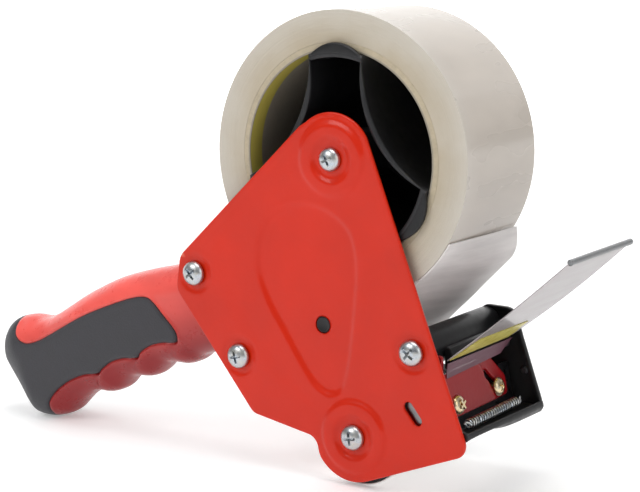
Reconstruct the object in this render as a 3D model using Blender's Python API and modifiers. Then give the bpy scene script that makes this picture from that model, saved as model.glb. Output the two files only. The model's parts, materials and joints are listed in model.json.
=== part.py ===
"""Hand-held tape gun dispenser for 50 mm tape on a 76 mm (3 inch) core.

A single steel side plate carries everything: the moulded handle, the axle of
the three-armed reel hub, the press roller, the sprung blade guard, the blade
on its cross bracket and the flexible wiper flap.

Every length below is in millimetres and is measured from the reel's axis at
the side plate's outer face: x forward, y away from the plate, z up.  `place`
turns those into world metres, with the origin on the floor under the middle
of the whole tool.
"""
import math

import bmesh
import bpy
from mathutils import Matrix, Vector

MM = 0.001
GAP = 0.3                      # air left between pieces that touch in reality

# ---- driving dimensions ---------------------------------------------------
FLOOR_Z = -117.8               # the surface that the roller and the butt stand on
ROW_ORIGIN = (-40.7, 29.35, FLOOR_Z)

CORE_BORE_R = 38.1             # half of a 76.2 mm tape core
CORE_WALL = 2.6
ROLL_R = 52.0
TAPE_NEAR_Y = 4.5
TAPE_WIDTH = 50.0
TAPE_FAR_Y = TAPE_NEAR_Y + TAPE_WIDTH
WEB_THICK = 0.4

PLATE_THICK = 1.5
INNER_Y = PLATE_THICK + GAP    # where a piece behind the plate begins

# Fastener positions on the side plate (x, z)
REEL_AXIS = (0.0, 0.0)
ROLLER_AXIS = (9.8, -99.2)
GUARD_AXIS = (33.6, -65.1)
HANDLE_SCREWS = {"upper": (-60.8, -47.0), "lower": (-40.3, -76.0)}
SCREW_HOLE_R = 2.8
GUARD_SCREW_HOLE_R = 2.3
SPARE_HOLE = (-4.0, -60.0)
SPARE_HOLE_R = 3.15
SPARE_PLUG_FLANGE_R = 5.0
LOBE_R = 16.6                  # round end of the plate about the reel's axis
SLOT_CENTRE = (34.0, -87.0)
SLOT_SIZE = (9.4, 3.6)
SLOT_ANGLE = -51.0
TAB_RECESS = 0.9               # how far the bracket's tab sits inside the slot

SCREW_R = 2.4                  # M5 screws, and M4 for the guard's rod
GUARD_SCREW_R = 1.8
SCREW_HEAD_R = 4.6
SCREW_HEAD_HEIGHT = 3.0
HUB_SCREW_HEAD_R = 4.2

HUB_TIP_R = CORE_BORE_R - GAP
HUB_WAIST_R = 20.0
HUB_TIP_HALF_ANGLE = 17.0
HUB_LIP_R = 41.0
HUB_NEAR_Y = 2.3
HUB_FAR_Y = 50.0
HUB_WALL = 2.2
HUB_WEB_Y = (38.0, 40.0)
HUB_BOSS_R = 9.2
HUB_AXLE_R = 6.0
HUB_AXLE_END_Y = 60.0

ROLLER_R = 17.9
ROLLER_CORE_R = 12.0
ROLLER_AXLE_R = 4.5
ROLLER_Y = (4.2, 54.8)

HANDLE_Y = (INNER_Y, 28.2)
HANDLE_ROUNDING = 5.0
PAD_DEPTH = 2.0

GUARD_BARREL_R = 6.7
GUARD_ROD_R = 3.0
GUARD_FAR_Y = 57.0
GUARD_WALL = 1.5

BRACKET_TOP = (43.5, -72.5)
BRACKET_DROP = 15.9
BRACKET_LEAN = 12.7            # degrees forward of straight down
BRACKET_Y = (3.6, 48.0)
BLADE_SCREW_Y = {"near": 10.0, "far": 40.0}
BLADE_SCREW_DROP = 11.8

WIPER_ROOT = (44.9, -67.3)
WIPER_TIP = (90.0, -28.4)
WIPER_Y = (5.0, 54.6)
WIPER_THICK = 0.9

ROUND = 20                     # segments of a small turned piece
ROUND_LARGE = 48

# ---- materials: colour, roughness, metallic --------------------------------
MATERIALS = {
    "red_paint": ((0.66, 0.055, 0.028), 0.28, 0.0),
    "dark_red_paint": ((0.40, 0.028, 0.024), 0.35, 0.0),
    "red_plastic": ((0.62, 0.035, 0.028), 0.32, 0.0),
    "grey_rubber": ((0.060, 0.064, 0.068), 0.65, 0.0),
    "black_plastic": ((0.012, 0.012, 0.013), 0.38, 0.0),
    "black_rubber": ((0.020, 0.020, 0.020), 0.75, 0.0),
    "zinc": ((0.62, 0.64, 0.66), 0.25, 1.0),
    "steel": ((0.50, 0.51, 0.52), 0.30, 1.0),
    "brass": ((0.72, 0.52, 0.22), 0.28, 1.0),
    "tape": ((0.62, 0.56, 0.47), 0.22, 0.0),
    "web_film": ((0.70, 0.71, 0.72), 0.15, 0.0),
    "card": ((0.70, 0.62, 0.40), 0.80, 0.0),
    "flap_film": ((0.46, 0.42, 0.41), 0.25, 0.0),
}


def make_material(name):
    colour, roughness, metallic = MATERIALS[name]
    material = bpy.data.materials.new(name)
    material.use_nodes = True
    shader = material.node_tree.nodes["Principled BSDF"]
    shader.inputs["Base Color"].default_value = (*colour, 1.0)
    shader.inputs["Roughness"].default_value = roughness
    shader.inputs["Metallic"].default_value = metallic
    return material


# ---- placing and naming -----------------------------------------------------
def place(x, y, z):
    """World position in metres of a point given in millimetres from the reel."""
    return Vector((x - ROW_ORIGIN[0], y - ROW_ORIGIN[1], z - ROW_ORIGIN[2])) * MM


def add_object(name, data, location, rotation=(0.0, 0.0, 0.0)):
    obj = bpy.data.objects.new(name, data)
    obj.location = location
    obj.rotation_euler = rotation
    WORK.objects.link(obj)
    return obj


def finish(obj, material, body):
    """Give a piece its material and hang it on its body's empty."""
    if obj.type == "MESH":
        obj.data.shade_smooth()
        obj.data.set_sharp_from_angle(angle=math.radians(35))
    obj.data.materials.clear()
    obj.data.materials.append(MATERIAL[material])
    obj.parent = BODY[body]
    obj.location = obj.location - BODY[body].location
    return obj


def as_cutter(obj):
    """Move a tool solid to the cutters' collection, out of the model."""
    WORK.objects.unlink(obj)
    CUTTERS.objects.link(obj)
    obj.hide_render = True
    obj.display_type = "WIRE"
    return obj


def boolean(obj, tool, operation):
    modifier = obj.modifiers.new(operation.title(), "BOOLEAN")
    modifier.operation = operation
    modifier.object = tool
    modifier.solver = "EXACT"


def cut(obj, tool):
    boolean(obj, as_cutter(tool), "DIFFERENCE")


def join(obj, tool):
    boolean(obj, as_cutter(tool), "UNION")


# ---- outlines ---------------------------------------------------------------
def arc(centre, radius, start, end, steps):
    """Points on an arc, angles in degrees, both ends included."""
    points = []
    for index in range(steps + 1):
        angle = math.radians(start + (end - start) * index / steps)
        points.append((centre[0] + radius * math.cos(angle),
                       centre[1] + radius * math.sin(angle)))
    return points


def rounded(corners, steps=5):
    """Polygon from (x, z, radius) corners, each corner with its fillet."""
    points = []
    count = len(corners)
    for index, (x, z, radius) in enumerate(corners):
        corner = Vector((x, z))
        before = (Vector(corners[index - 1][:2]) - corner).normalized()
        after = (Vector(corners[(index + 1) % count][:2]) - corner).normalized()
        if radius <= 0.0:
            points.append((x, z))
            continue
        half = before.angle(after) / 2.0
        centre = corner + (before + after).normalized() * (radius / math.sin(half))
        first = corner + before * (radius / math.tan(half)) - centre
        last = corner + after * (radius / math.tan(half)) - centre
        turn = first.angle_signed(last)
        for step in range(steps + 1):
            spoke = first.copy()
            spoke.rotate(Matrix.Rotation(-turn * step / steps, 2))
            points.append(tuple(centre + spoke))
    return points


def along(start, lean_degrees, distance, offset=0.0):
    """Point `distance` down a line that leans forward, `offset` in front of it."""
    lean = math.radians(lean_degrees)
    down = (math.sin(lean), -math.cos(lean))
    front = (math.cos(lean), math.sin(lean))
    return (start[0] + down[0] * distance + front[0] * offset,
            start[1] + down[1] * distance + front[1] * offset)


def strip(points, thickness):
    """Closed outline of a thin sheet whose middle line is `points`."""
    left, right = [], []
    for index, point in enumerate(points):
        ahead = Vector(points[min(index + 1, len(points) - 1)])
        behind = Vector(points[max(index - 1, 0)])
        direction = (ahead - behind).normalized()
        side = Vector((-direction.y, direction.x)) * (thickness / 2.0)
        left.append(tuple(Vector(point) + side))
        right.append(tuple(Vector(point) - side))
    return left + right[::-1]


# ---- solids -----------------------------------------------------------------
def slab(name, outline, y_near, y_far, holes=(), smooth_curve=False, bevel=0.0,
         shrink=0.0):
    """Solid with an (x, z) outline, and through holes, between two y values.

    `shrink` moves the outline inwards; `bevel` rounds the edges inside it.
    """
    curve = bpy.data.curves.new(name, "CURVE")
    curve.dimensions = "2D"
    curve.fill_mode = "BOTH"
    curve.resolution_u = 2
    for points in (outline, *holes):
        add_spline(curve, points, smooth_curve)
    curve.extrude = ((y_far - y_near) / 2.0 - bevel) * MM
    curve.bevel_depth = bevel * MM
    curve.bevel_resolution = 1
    curve.offset = -(bevel + shrink) * MM
    location = place(0.0, (y_near + y_far) / 2.0, 0.0)
    obj = add_object(name, curve, location, (math.radians(90), 0.0, 0.0))
    return curve_to_mesh(obj)


def add_spline(curve, points, smooth_curve=False):
    """Closed run of straight lines, or a smooth curve, through the points."""
    if smooth_curve:
        spline = curve.splines.new("BEZIER")
        spline.bezier_points.add(len(points) - 1)
        for knot, (x, z) in zip(spline.bezier_points, points):
            knot.co = (x * MM, z * MM, 0.0)
            knot.handle_left_type = knot.handle_right_type = "AUTO"
    else:
        spline = curve.splines.new("POLY")
        spline.points.add(len(points) - 1)
        for knot, (x, z) in zip(spline.points, points):
            knot.co = (x * MM, z * MM, 0.0, 1.0)
    spline.use_cyclic_u = True


def circle(centre, radius, steps=14):
    return arc(centre, radius, 0.0, 360.0, steps)[:-1]


def curve_to_mesh(obj):
    """Replace a curve object by its welded mesh, so it can be cut."""
    bpy.context.view_layer.update()
    graph = bpy.context.evaluated_depsgraph_get()
    mesh = bpy.data.meshes.new_from_object(obj.evaluated_get(graph))
    shell = bmesh.new()
    shell.from_mesh(mesh)
    bmesh.ops.remove_doubles(shell, verts=shell.verts, dist=0.01 * MM)
    bmesh.ops.recalc_face_normals(shell, faces=shell.faces)
    shell.to_mesh(mesh)
    shell.free()
    name = obj.name
    matrix = obj.matrix_world.copy()
    bpy.data.objects.remove(obj)
    solid = add_object(name, mesh, (0.0, 0.0, 0.0))
    solid.matrix_world = matrix
    return solid


def turned(name, axis, profile, segments=ROUND, closed=False):
    """Solid of revolution about the y direction through `axis` (x, z).

    `profile` is (radius, y) points.  An open profile starts and ends on the
    axis; a closed one makes a ring.
    """
    area = 0.0
    for (r0, y0), (r1, y1) in zip(profile, profile[1:] + profile[:1]):
        area += r0 * y1 - r1 * y0
    if area > 0.0:
        profile = profile[::-1]
    mesh = bpy.data.meshes.new(name)
    verts = [(radius * MM, 0.0, y * MM) for radius, y in profile]
    edges = [(index, index + 1) for index in range(len(profile) - 1)]
    if closed:
        edges.append((len(profile) - 1, 0))
    mesh.from_pydata(verts, edges, [])
    location = place(axis[0], 0.0, axis[1])
    obj = add_object(name, mesh, location, (math.radians(-90), 0.0, 0.0))
    screw = obj.modifiers.new("Turn", "SCREW")
    screw.axis = "Z"
    screw.steps = segments
    screw.render_steps = segments
    screw.use_merge_vertices = True
    screw.merge_threshold = 0.00001
    return baked(obj)


def baked(obj):
    """Replace a mesh object by its evaluated mesh."""
    bpy.context.view_layer.update()
    graph = bpy.context.evaluated_depsgraph_get()
    mesh = bpy.data.meshes.new_from_object(obj.evaluated_get(graph))
    obj.modifiers.clear()
    obj.data = mesh
    return obj


def ring(name, axis, inner_r, outer_r, y_near, y_far, segments=ROUND):
    profile = [(inner_r, y_near), (outer_r, y_near), (outer_r, y_far), (inner_r, y_far)]
    return turned(name, axis, profile, segments, closed=True)


def rod(name, axis, radius, y_near, y_far, segments=ROUND):
    profile = [(0.0, y_far), (radius, y_far), (radius, y_near), (0.0, y_near)]
    return turned(name, axis, profile, segments)


def tapped_rod(name, axis, radius, y_near, y_far, bore_r, bore_depth, flange=None):
    """Shaft with a blind screw bore at its near end and an optional flange."""
    profile = [(0.0, y_near + bore_depth), (bore_r, y_near + bore_depth), (bore_r, y_near)]
    if flange:
        flange_r, flange_thick = flange
        profile += [(flange_r, y_near), (flange_r, y_near + flange_thick),
                    (radius, y_near + flange_thick)]
    else:
        profile += [(radius, y_near)]
    profile += [(radius, y_far - 1.0), (radius - 1.0, y_far), (0.0, y_far)]
    return turned(name, axis, profile)


def pan_screw(name, axis, shank_r, end_y, head_r=SCREW_HEAD_R):
    """Pan-head screw through the side plate, head on the outer face."""
    top_y = -GAP - SCREW_HEAD_HEIGHT
    profile = [(0.0, top_y), (head_r * 0.45, top_y + 0.15), (head_r * 0.8, top_y + 0.8),
               (head_r, top_y + 1.9), (head_r, -GAP), (shank_r, -GAP),
               (shank_r, end_y - 0.6), (shank_r - 0.6, end_y), (0.0, end_y)]
    return turned(name, axis, profile, 16)


def hexagon(axis, across_flats):
    radius = across_flats / math.sqrt(3.0)
    return [(axis[0] + radius * math.cos(math.radians(60 * k)),
             axis[1] + radius * math.sin(math.radians(60 * k))) for k in range(6)]


def coil(name, points, wire_r):
    """Wire along a computed list of millimetre points."""
    curve = bpy.data.curves.new(name, "CURVE")
    curve.dimensions = "3D"
    spline = curve.splines.new("POLY")
    spline.points.add(len(points) - 1)
    middle = Vector(points[0])
    for knot, point in zip(spline.points, points):
        knot.co = (*((Vector(point) - middle) * MM), 1.0)
    curve.bevel_depth = wire_r * MM
    curve.bevel_resolution = 2
    curve.use_fill_caps = True
    return add_object(name, curve, place(*middle))


def helix(axis, radius, y_near, y_far, turns, steps=9):
    """Points of a coil spring about the y direction."""
    points = []
    count = int(turns * steps)
    for index in range(count + 1):
        angle = 2.0 * math.pi * index / steps
        points.append((axis[0] + radius * math.cos(angle),
                       y_near + (y_far - y_near) * index / count,
                       axis[1] + radius * math.sin(angle)))
    return points


# ---- the side plate and its fasteners --------------------------------------
def side_plate():
    foot_centre = (9.2, -99.2)
    foot = arc(foot_centre, LOBE_R + 0.2, 212.0, 292.0, 12)
    corners = [(-13.6, 10.9, 0.0), (-67.9, -41.0, 7.0), (-69.9, -54.0, 6.0),
               (-34.4, -97.0, 5.0), (-6.4, -101.9, 5.0), (*foot[0], 0.0)]
    points = arc(REEL_AXIS, LOBE_R, 31.0, 131.0, 14) + rounded(corners)[:-1]
    points += foot + front_corner()
    holes = [circle(REEL_AXIS, SCREW_HOLE_R), circle(ROLLER_AXIS, SCREW_HOLE_R),
             circle(GUARD_AXIS, GUARD_SCREW_HOLE_R), circle(SPARE_HOLE, SPARE_HOLE_R),
             slot_outline(0.0)]
    holes += [circle(position, SCREW_HOLE_R) for position in HANDLE_SCREWS.values()]
    plate = slab("side_plate", points, 0.0, PLATE_THICK, holes)
    finish(plate, "red_paint", "frame")


def spare_hole_plug():
    """Blanking plug pushed into the spare hole from behind, its face sunk a little."""
    face_y, flange_y, back_y = 0.9, INNER_Y, INNER_Y + 1.6
    spigot_r = SPARE_HOLE_R - GAP
    profile = [(0.0, back_y), (SPARE_PLUG_FLANGE_R, back_y), (SPARE_PLUG_FLANGE_R, flange_y),
               (spigot_r, flange_y), (spigot_r, face_y), (0.0, face_y)]
    finish(turned("spare_hole_plug", SPARE_HOLE, profile), "black_plastic", "frame")


def front_corner():
    """Fillet where the plate's lower edge meets its long front edge."""
    lower = (28.4, -109.6)
    tip = (56.4, -98.3)
    front = (14.2, 8.6)
    corners = [(*lower, 0.0), (*tip, 5.0), (*front, 0.0)]
    return rounded(corners)[1:-1]


def slot_outline(shrink):
    """Round-ended slot for the bracket's tab, smaller by `shrink` all round."""
    length = SLOT_SIZE[0] / 2.0 - SLOT_SIZE[1] / 2.0
    radius = SLOT_SIZE[1] / 2.0 - shrink
    angle = math.radians(SLOT_ANGLE)
    shift = Vector((math.cos(angle), math.sin(angle))) * length
    low = (SLOT_CENTRE[0] + shift.x, SLOT_CENTRE[1] + shift.y)
    high = (SLOT_CENTRE[0] - shift.x, SLOT_CENTRE[1] - shift.y)
    return (arc(low, radius, SLOT_ANGLE - 90, SLOT_ANGLE + 90, 8)
            + arc(high, radius, SLOT_ANGLE + 90, SLOT_ANGLE + 270, 8))


# ---- handle -----------------------------------------------------------------
HANDLE_OUTLINE = [
    (-36, -62), (-50, -43), (-65, -44), (-81, -48), (-107, -55.5), (-126, -65.5),
    (-143, -75.5), (-152, -76.4), (-161, -77.4), (-169, -83.5), (-172.5, -91), (-168, -101.5),
    (-158, -113), (-150, -118.3), (-142, -118.3), (-133, -114.5), (-126, -107.4),
    (-119, -103.9), (-110, -103.2), (-104, -98.6), (-99.5, -94.8), (-91, -94), (-85, -89.5),
    (-81, -86), (-72, -86), (-65.5, -81.4), (-52, -79), (-38, -84), (-31, -76),
]
BUTT_LINE = [(-164.5, -70), (-160.5, -88), (-149, -104), (-141.5, -125), (-190, -125), (-190, -70)]
PAD_OUTLINE = [
    (-84, -58.8), (-92, -59.5), (-112, -66.5), (-131, -76.5), (-144, -84), (-156, -86.5),
    (-157, -93), (-149, -106), (-140, -107), (-127, -98), (-113, -94.4), (-106, -88.6),
    (-92, -84.6), (-87, -78.8), (-73, -76), (-73.5, -70), (-79.5, -62.5),
]


def handle():
    near, far = HANDLE_Y
    middle = (near + far) / 2.0
    big_box = [(-200, FLOOR_Z), (0, FLOOR_Z), (0, 0), (-200, 0)]
    sides = {"near": (near, middle - GAP / 2), "far": (middle + GAP / 2, far)}
    for side, (low, high) in sides.items():
        shell = handle_blank(f"handle_shell_{side}")
        keep = as_cutter(slab(f"handle_half_{side}", big_box, low, high))
        boolean(shell, keep, "INTERSECT")
        cut(shell, slab(f"butt_cutter_{side}", BUTT_LINE, near - 5, far + 5))
        face = near if side == "near" else far
        inward = 1 if side == "near" else -1
        pocket = sorted((face - inward * 3.0, face + inward * PAD_DEPTH))
        cut(shell, slab(f"pad_pocket_{side}", PAD_OUTLINE, *pocket, smooth_curve=True))
        for label, position in HANDLE_SCREWS.items():
            cut(shell, rod(f"handle_bore_{side}_{label}", position, SCREW_HOLE_R,
                           near - 5, far + 5, 24))
        finish(shell, "red_plastic", "frame")
        grip_pad(side, face, inward)
    butt = handle_blank("handle_butt_cap")
    keep = slab("butt_keeper", [(x - GAP, z) for x, z in BUTT_LINE], near - 5, far + 5)
    boolean(butt, as_cutter(keep), "INTERSECT")
    below = [(-200, -130), (0, -130), (0, FLOOR_Z), (-200, FLOOR_Z)]
    cut(butt, slab("butt_foot_cutter", below, near - 5, far + 5))
    finish(butt, "grey_rubber", "frame")


def handle_blank(name):
    return slab(name, HANDLE_OUTLINE, *HANDLE_Y, smooth_curve=True, bevel=HANDLE_ROUNDING)


def grip_pad(side, face, inward):
    """Soft pad in the pocket of one handle shell, flush with its face."""
    low, high = sorted((face, face + inward * (PAD_DEPTH - GAP)))
    pad = slab(f"grip_pad_{side}", PAD_OUTLINE, low, high, smooth_curve=True, shrink=GAP)
    cut(pad, slab(f"pad_end_cutter_{side}", BUTT_LINE, low - 1, high + 1))
    finish(pad, "grey_rubber", "frame")


def handle_fasteners():
    far = HANDLE_Y[1]
    for label, position in HANDLE_SCREWS.items():
        screw = pan_screw(f"handle_screw_{label}", position, SCREW_R, far + 5.2)
        finish(screw, "zinc", "frame")
        nut = slab(f"handle_nut_{label}", hexagon(position, 8.0), far + GAP, far + GAP + 4.0,
                   [circle(position, 2.7)])
        finish(nut, "zinc", "frame")


# ---- reel: axle, hub, tape --------------------------------------------------
def hub_outline(inset=0.0):
    """Star with three round-tipped arms and hollow sides, arms at 90 degrees."""
    tip_r = HUB_TIP_R - inset
    waist_r = HUB_WAIST_R - inset
    half_gap = math.radians(60.0 - HUB_TIP_HALF_ANGLE)
    end_along = tip_r * math.cos(half_gap)
    end_across = tip_r * math.sin(half_gap)
    reach = (end_along ** 2 + end_across ** 2 - waist_r ** 2) / (2.0 * (end_along - waist_r))
    hollow_r = reach - waist_r
    spread = math.degrees(math.atan2(end_across, reach - end_along))
    points = []
    for arm in (90.0, 210.0, 330.0):
        points += arc(REEL_AXIS, tip_r, arm - HUB_TIP_HALF_ANGLE, arm + HUB_TIP_HALF_ANGLE, 5)
        side = math.radians(arm + 60.0)
        centre = (reach * math.cos(side), reach * math.sin(side))
        facing = arm + 240.0
        points += arc(centre, hollow_r, facing + spread, facing - spread, 7)[1:-1]
    return points


def hub():
    body = slab("hub", hub_outline(), HUB_NEAR_Y, HUB_FAR_Y, [hub_outline(HUB_WALL)])
    bore_r = HUB_AXLE_R + 2.0
    web = slab("hub_web", hub_outline(HUB_WALL / 2.0), *HUB_WEB_Y, [circle(REEL_AXIS, 8.5, 24)])
    join(body, web)
    join(body, ring("hub_boss", REEL_AXIS, bore_r, HUB_BOSS_R, 3.5, HUB_WEB_Y[1] + 0.2, 24))
    for index, arm in enumerate((90.0, 210.0, 330.0)):
        join(body, hub_lip(index, arm))
    finish(body, "black_plastic", "reel")
    disc = ring("hub_end_disc", REEL_AXIS, 13.6, CORE_BORE_R - 0.6,
                HUB_FAR_Y + GAP, HUB_FAR_Y + 2.3, ROUND_LARGE)
    finish(disc, "black_plastic", "reel")
    for name, y_near, y_far in (("hub_bush_near", 3.8, 11.8), ("hub_bush_far", 31.9, 39.9)):
        bush = ring(name, REEL_AXIS, HUB_AXLE_R + 0.15, HUB_AXLE_R + 1.8, y_near, y_far)
        finish(bush, "steel", "reel")


def hub_lip(index, arm):
    """Rim on one arm's near edge that stops the core from sliding off."""
    half = HUB_TIP_HALF_ANGLE
    points = arc(REEL_AXIS, HUB_LIP_R, arm - half, arm + half, 5)
    points += arc(REEL_AXIS, HUB_TIP_R - 1.1, arm + half, arm - half, 5)
    return slab(f"hub_lip_{index}", points, HUB_NEAR_Y - 0.1, TAPE_NEAR_Y - GAP)


def reel_axle():
    axle = tapped_rod("hub_axle", REEL_AXIS, HUB_AXLE_R, INNER_Y, HUB_AXLE_END_Y, 2.7, 14.0,
                      flange=(11.0, 1.2))
    finish(axle, "steel", "frame")
    screw = pan_screw("hub_axle_screw", REEL_AXIS, SCREW_R, 14.0, HUB_SCREW_HEAD_R)
    finish(screw, "zinc", "frame")


def brake():
    """Washer, spring and knob that set the drag on the reel."""
    washer_y = HUB_WEB_Y[1] + 0.2 + GAP
    washer = ring("brake_washer", REEL_AXIS, HUB_AXLE_R + GAP, 10.5, washer_y, washer_y + 1.4)
    finish(washer, "steel", "frame")
    spring = coil("brake_spring", helix(REEL_AXIS, 8.2, washer_y + 2.4, 50.2, 4.0, 10), 0.7)
    finish(spring, "steel", "frame")
    knob = slab("tension_knob", knob_outline(), 51.4, 62.0)
    cut(knob, rod("knob_bore", REEL_AXIS, 8.3, 45.0, 65.0, 32))
    finish(knob, "black_plastic", "tension_knob")
    insert = ring("knob_insert", REEL_AXIS, HUB_AXLE_R + GAP, 8.0, 51.4, 61.4)
    finish(insert, "brass", "tension_knob")


def knob_outline():
    """Six-lobed grip outline, kept inside the end disc's hole."""
    points = []
    steps = 48
    for index in range(steps):
        angle = 2.0 * math.pi * index / steps
        radius = 12.0 + 0.9 * math.cos(6.0 * angle)
        points.append((radius * math.cos(angle), radius * math.sin(angle)))
    return points


def tape():
    core = ring("tape_core", REEL_AXIS, CORE_BORE_R, CORE_BORE_R + CORE_WALL,
                TAPE_NEAR_Y, TAPE_FAR_Y, ROUND_LARGE)
    finish(core, "card", "reel")
    roll = ring("tape_roll", REEL_AXIS, CORE_BORE_R + CORE_WALL + GAP, ROLL_R,
                TAPE_NEAR_Y, TAPE_FAR_Y, ROUND_LARGE)
    finish(roll, "tape", "reel")
    web = slab("tape_web", strip(web_path(), WEB_THICK), TAPE_NEAR_Y + 0.3, TAPE_FAR_Y - 0.3)
    finish(web, "web_film", "frame")


def tangent_angle(point, side):
    """Angle on the wrapped roller where a line from `point` touches it."""
    wrap_r = ROLLER_R + GAP + WEB_THICK / 2.0
    spoke = Vector(point) - Vector(ROLLER_AXIS)
    towards = math.degrees(math.atan2(spoke.y, spoke.x))
    return towards + side * math.degrees(math.acos(wrap_r / spoke.length))


def web_path():
    """Free tape: off the roll, down to the press roller, round it, to the blade."""
    peel = [(45.4, -27.0), (45.8, -31.0), (45.4, -35.0), (43.8, -38.4)]
    cut_end = (44.4, -97.4)
    start = tangent_angle(peel[-1], 1)
    end = tangent_angle(cut_end, -1)
    wrap_r = ROLLER_R + GAP + WEB_THICK / 2.0
    return peel + arc(ROLLER_AXIS, wrap_r, start, end + 360.0, 26) + [cut_end]


# ---- press roller -----------------------------------------------------------
def press_roller():
    near, far = ROLLER_Y
    sleeve = ring("roller_sleeve", ROLLER_AXIS, ROLLER_CORE_R + GAP, ROLLER_R, near, far,
                  ROUND_LARGE)
    finish(sleeve, "black_rubber", "press_roller")
    core = ring("roller_core", ROLLER_AXIS, ROLLER_AXLE_R + 2.3, ROLLER_CORE_R, near, far)
    finish(core, "black_plastic", "press_roller")
    bush_r = ROLLER_AXLE_R + 2.0
    for name, start in (("roller_bush_near", near), ("roller_bush_far", far - 6.0)):
        bush = ring(name, ROLLER_AXIS, ROLLER_AXLE_R + 0.12, bush_r, start, start + 6.0)
        finish(bush, "steel", "press_roller")
    axle = tapped_rod("roller_axle", ROLLER_AXIS, ROLLER_AXLE_R, INNER_Y, far + 3.6, 2.7, 12.0,
                      flange=(9.0, 1.2))
    finish(axle, "steel", "frame")
    finish(pan_screw("roller_axle_screw", ROLLER_AXIS, SCREW_R, 12.0), "zinc", "frame")
    clip = ring("roller_clip", ROLLER_AXIS, ROLLER_AXLE_R + 0.2, 8.0, far + 0.5, far + 1.5)
    finish(clip, "zinc", "frame")


# ---- blade guard ------------------------------------------------------------
def guard_wall_outline():
    """End wall of the guard, swinging about the pivot rod."""
    return rounded([(27.0, -62.0, 3.0), (33.0, -57.6, 4.0), (46.2, -57.6, 3.0), (48.9, -68.0, 3.0),
                    (57.3, -94.0, 3.5), (48.5, -97.4, 2.0), (33.0, -96.6, 3.0),
                    (27.5, -72.0, 3.0)])


def guard_near_outline():
    """Near wall: hidden behind the plate's front edge, flared only at the bottom."""
    return rounded([(27.0, -62.0, 3.0), (33.0, -57.6, 4.0), (38.6, -59.0, 3.0),
                    (43.4, -72.0, 8.0), (50.4, -89.6, 4.0), (56.6, -92.6, 1.5),
                    (56.6, -95.4, 1.5), (48.5, -97.4, 2.0), (38.0, -73.0, 3.0),
                    (29.0, -71.5, 3.0)])


def guard():
    near = INNER_Y
    body = slab("blade_guard", guard_wall_outline(), GUARD_FAR_Y - 2.0, GUARD_FAR_Y)
    join(body, slab("guard_near_wall", guard_near_outline(), near, near + GUARD_WALL))
    join(body, rod("guard_barrel", GUARD_AXIS, GUARD_BARREL_R, near + 0.3, GUARD_FAR_Y - 0.4, ROUND))
    lip = rounded([(56.3, -91.0, 0.6), (57.0, -93.6, 1.6), (55.8, -95.7, 1.6),
                   (49.4, -97.0, 0.5), (49.0, -95.6, 0.5), (54.6, -94.0, 1.0),
                   (55.0, -92.6, 0.5)], 3)
    join(body, slab("guard_bottom", lip, near + 0.4, GUARD_FAR_Y - 0.5))
    cut(body, rod("guard_bore", GUARD_AXIS, GUARD_ROD_R + 0.12, -5.0, 65.0, 32))
    finish(body, "black_plastic", "guard")
    pivot = tapped_rod("guard_rod", GUARD_AXIS, GUARD_ROD_R, INNER_Y, GUARD_FAR_Y + 3.2, 2.0, 9.0)
    finish(pivot, "steel", "frame")
    finish(pan_screw("guard_rod_screw", GUARD_AXIS, GUARD_SCREW_R, 9.5), "zinc", "frame")
    clip = ring("guard_rod_clip", GUARD_AXIS, GUARD_ROD_R + 0.2, 6.0,
                GUARD_FAR_Y + 0.4, GUARD_FAR_Y + 1.4)
    finish(clip, "zinc", "frame")
    spring = coil("guard_spring", spring_points(), 0.3)
    finish(spring, "zinc", "frame")


def spring_points():
    """Close-wound return spring that lies along the bracket's lower edge."""
    return helix((50.6, -90.4), 1.6, 7.0, 50.0, 14.0, 6)


# ---- blade, bracket and wiper ----------------------------------------------
def bracket_line(drop, offset):
    return along(BRACKET_TOP, BRACKET_LEAN, drop, offset)


def bracket():
    near, far = BRACKET_Y
    sheet = 1.5
    up, down = 0.0, -BRACKET_DROP
    corners = [(near, down, 0.0), (far, down, 2.0), (far, down + 7.0, 3.0),
               (far - 9.0, up, 3.0), (near, up, 0.0)]
    holes = [circle((y, -BLADE_SCREW_DROP), 2.0, 16) for y in BLADE_SCREW_Y.values()]
    body = leaning_sheet("blade_bracket", [rounded(corners), *holes], -sheet / 2.0, sheet)
    ear = [bracket_line(0.2, -0.2), bracket_line(BRACKET_DROP - 0.2, -0.2), (38.0, -92.0),
           (30.0, -91.0), (29.5, -82.0), (36.0, -73.5)]
    join(body, slab("bracket_ear", ear, near - 0.1, near + sheet))
    join(body, slab("bracket_tab", slot_outline(GAP), TAB_RECESS, near + 0.5))
    finish(body, "dark_red_paint", "frame")


def cross_rod(name, y, radius, back, front):
    """Rod square to the bracket's face, from `back` to `front` of it."""
    shell = bmesh.new()
    bmesh.ops.create_cone(shell, cap_ends=True, segments=24, radius1=radius * MM,
                          radius2=radius * MM, depth=(front - back) * MM)
    mesh = bpy.data.meshes.new(name)
    shell.to_mesh(mesh)
    shell.free()
    x, z = bracket_line(BLADE_SCREW_DROP, (front + back) / 2.0)
    tilt = math.radians(90.0 - BRACKET_LEAN)
    return add_object(name, mesh, place(x, y, z), (0.0, tilt, 0.0))


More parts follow.
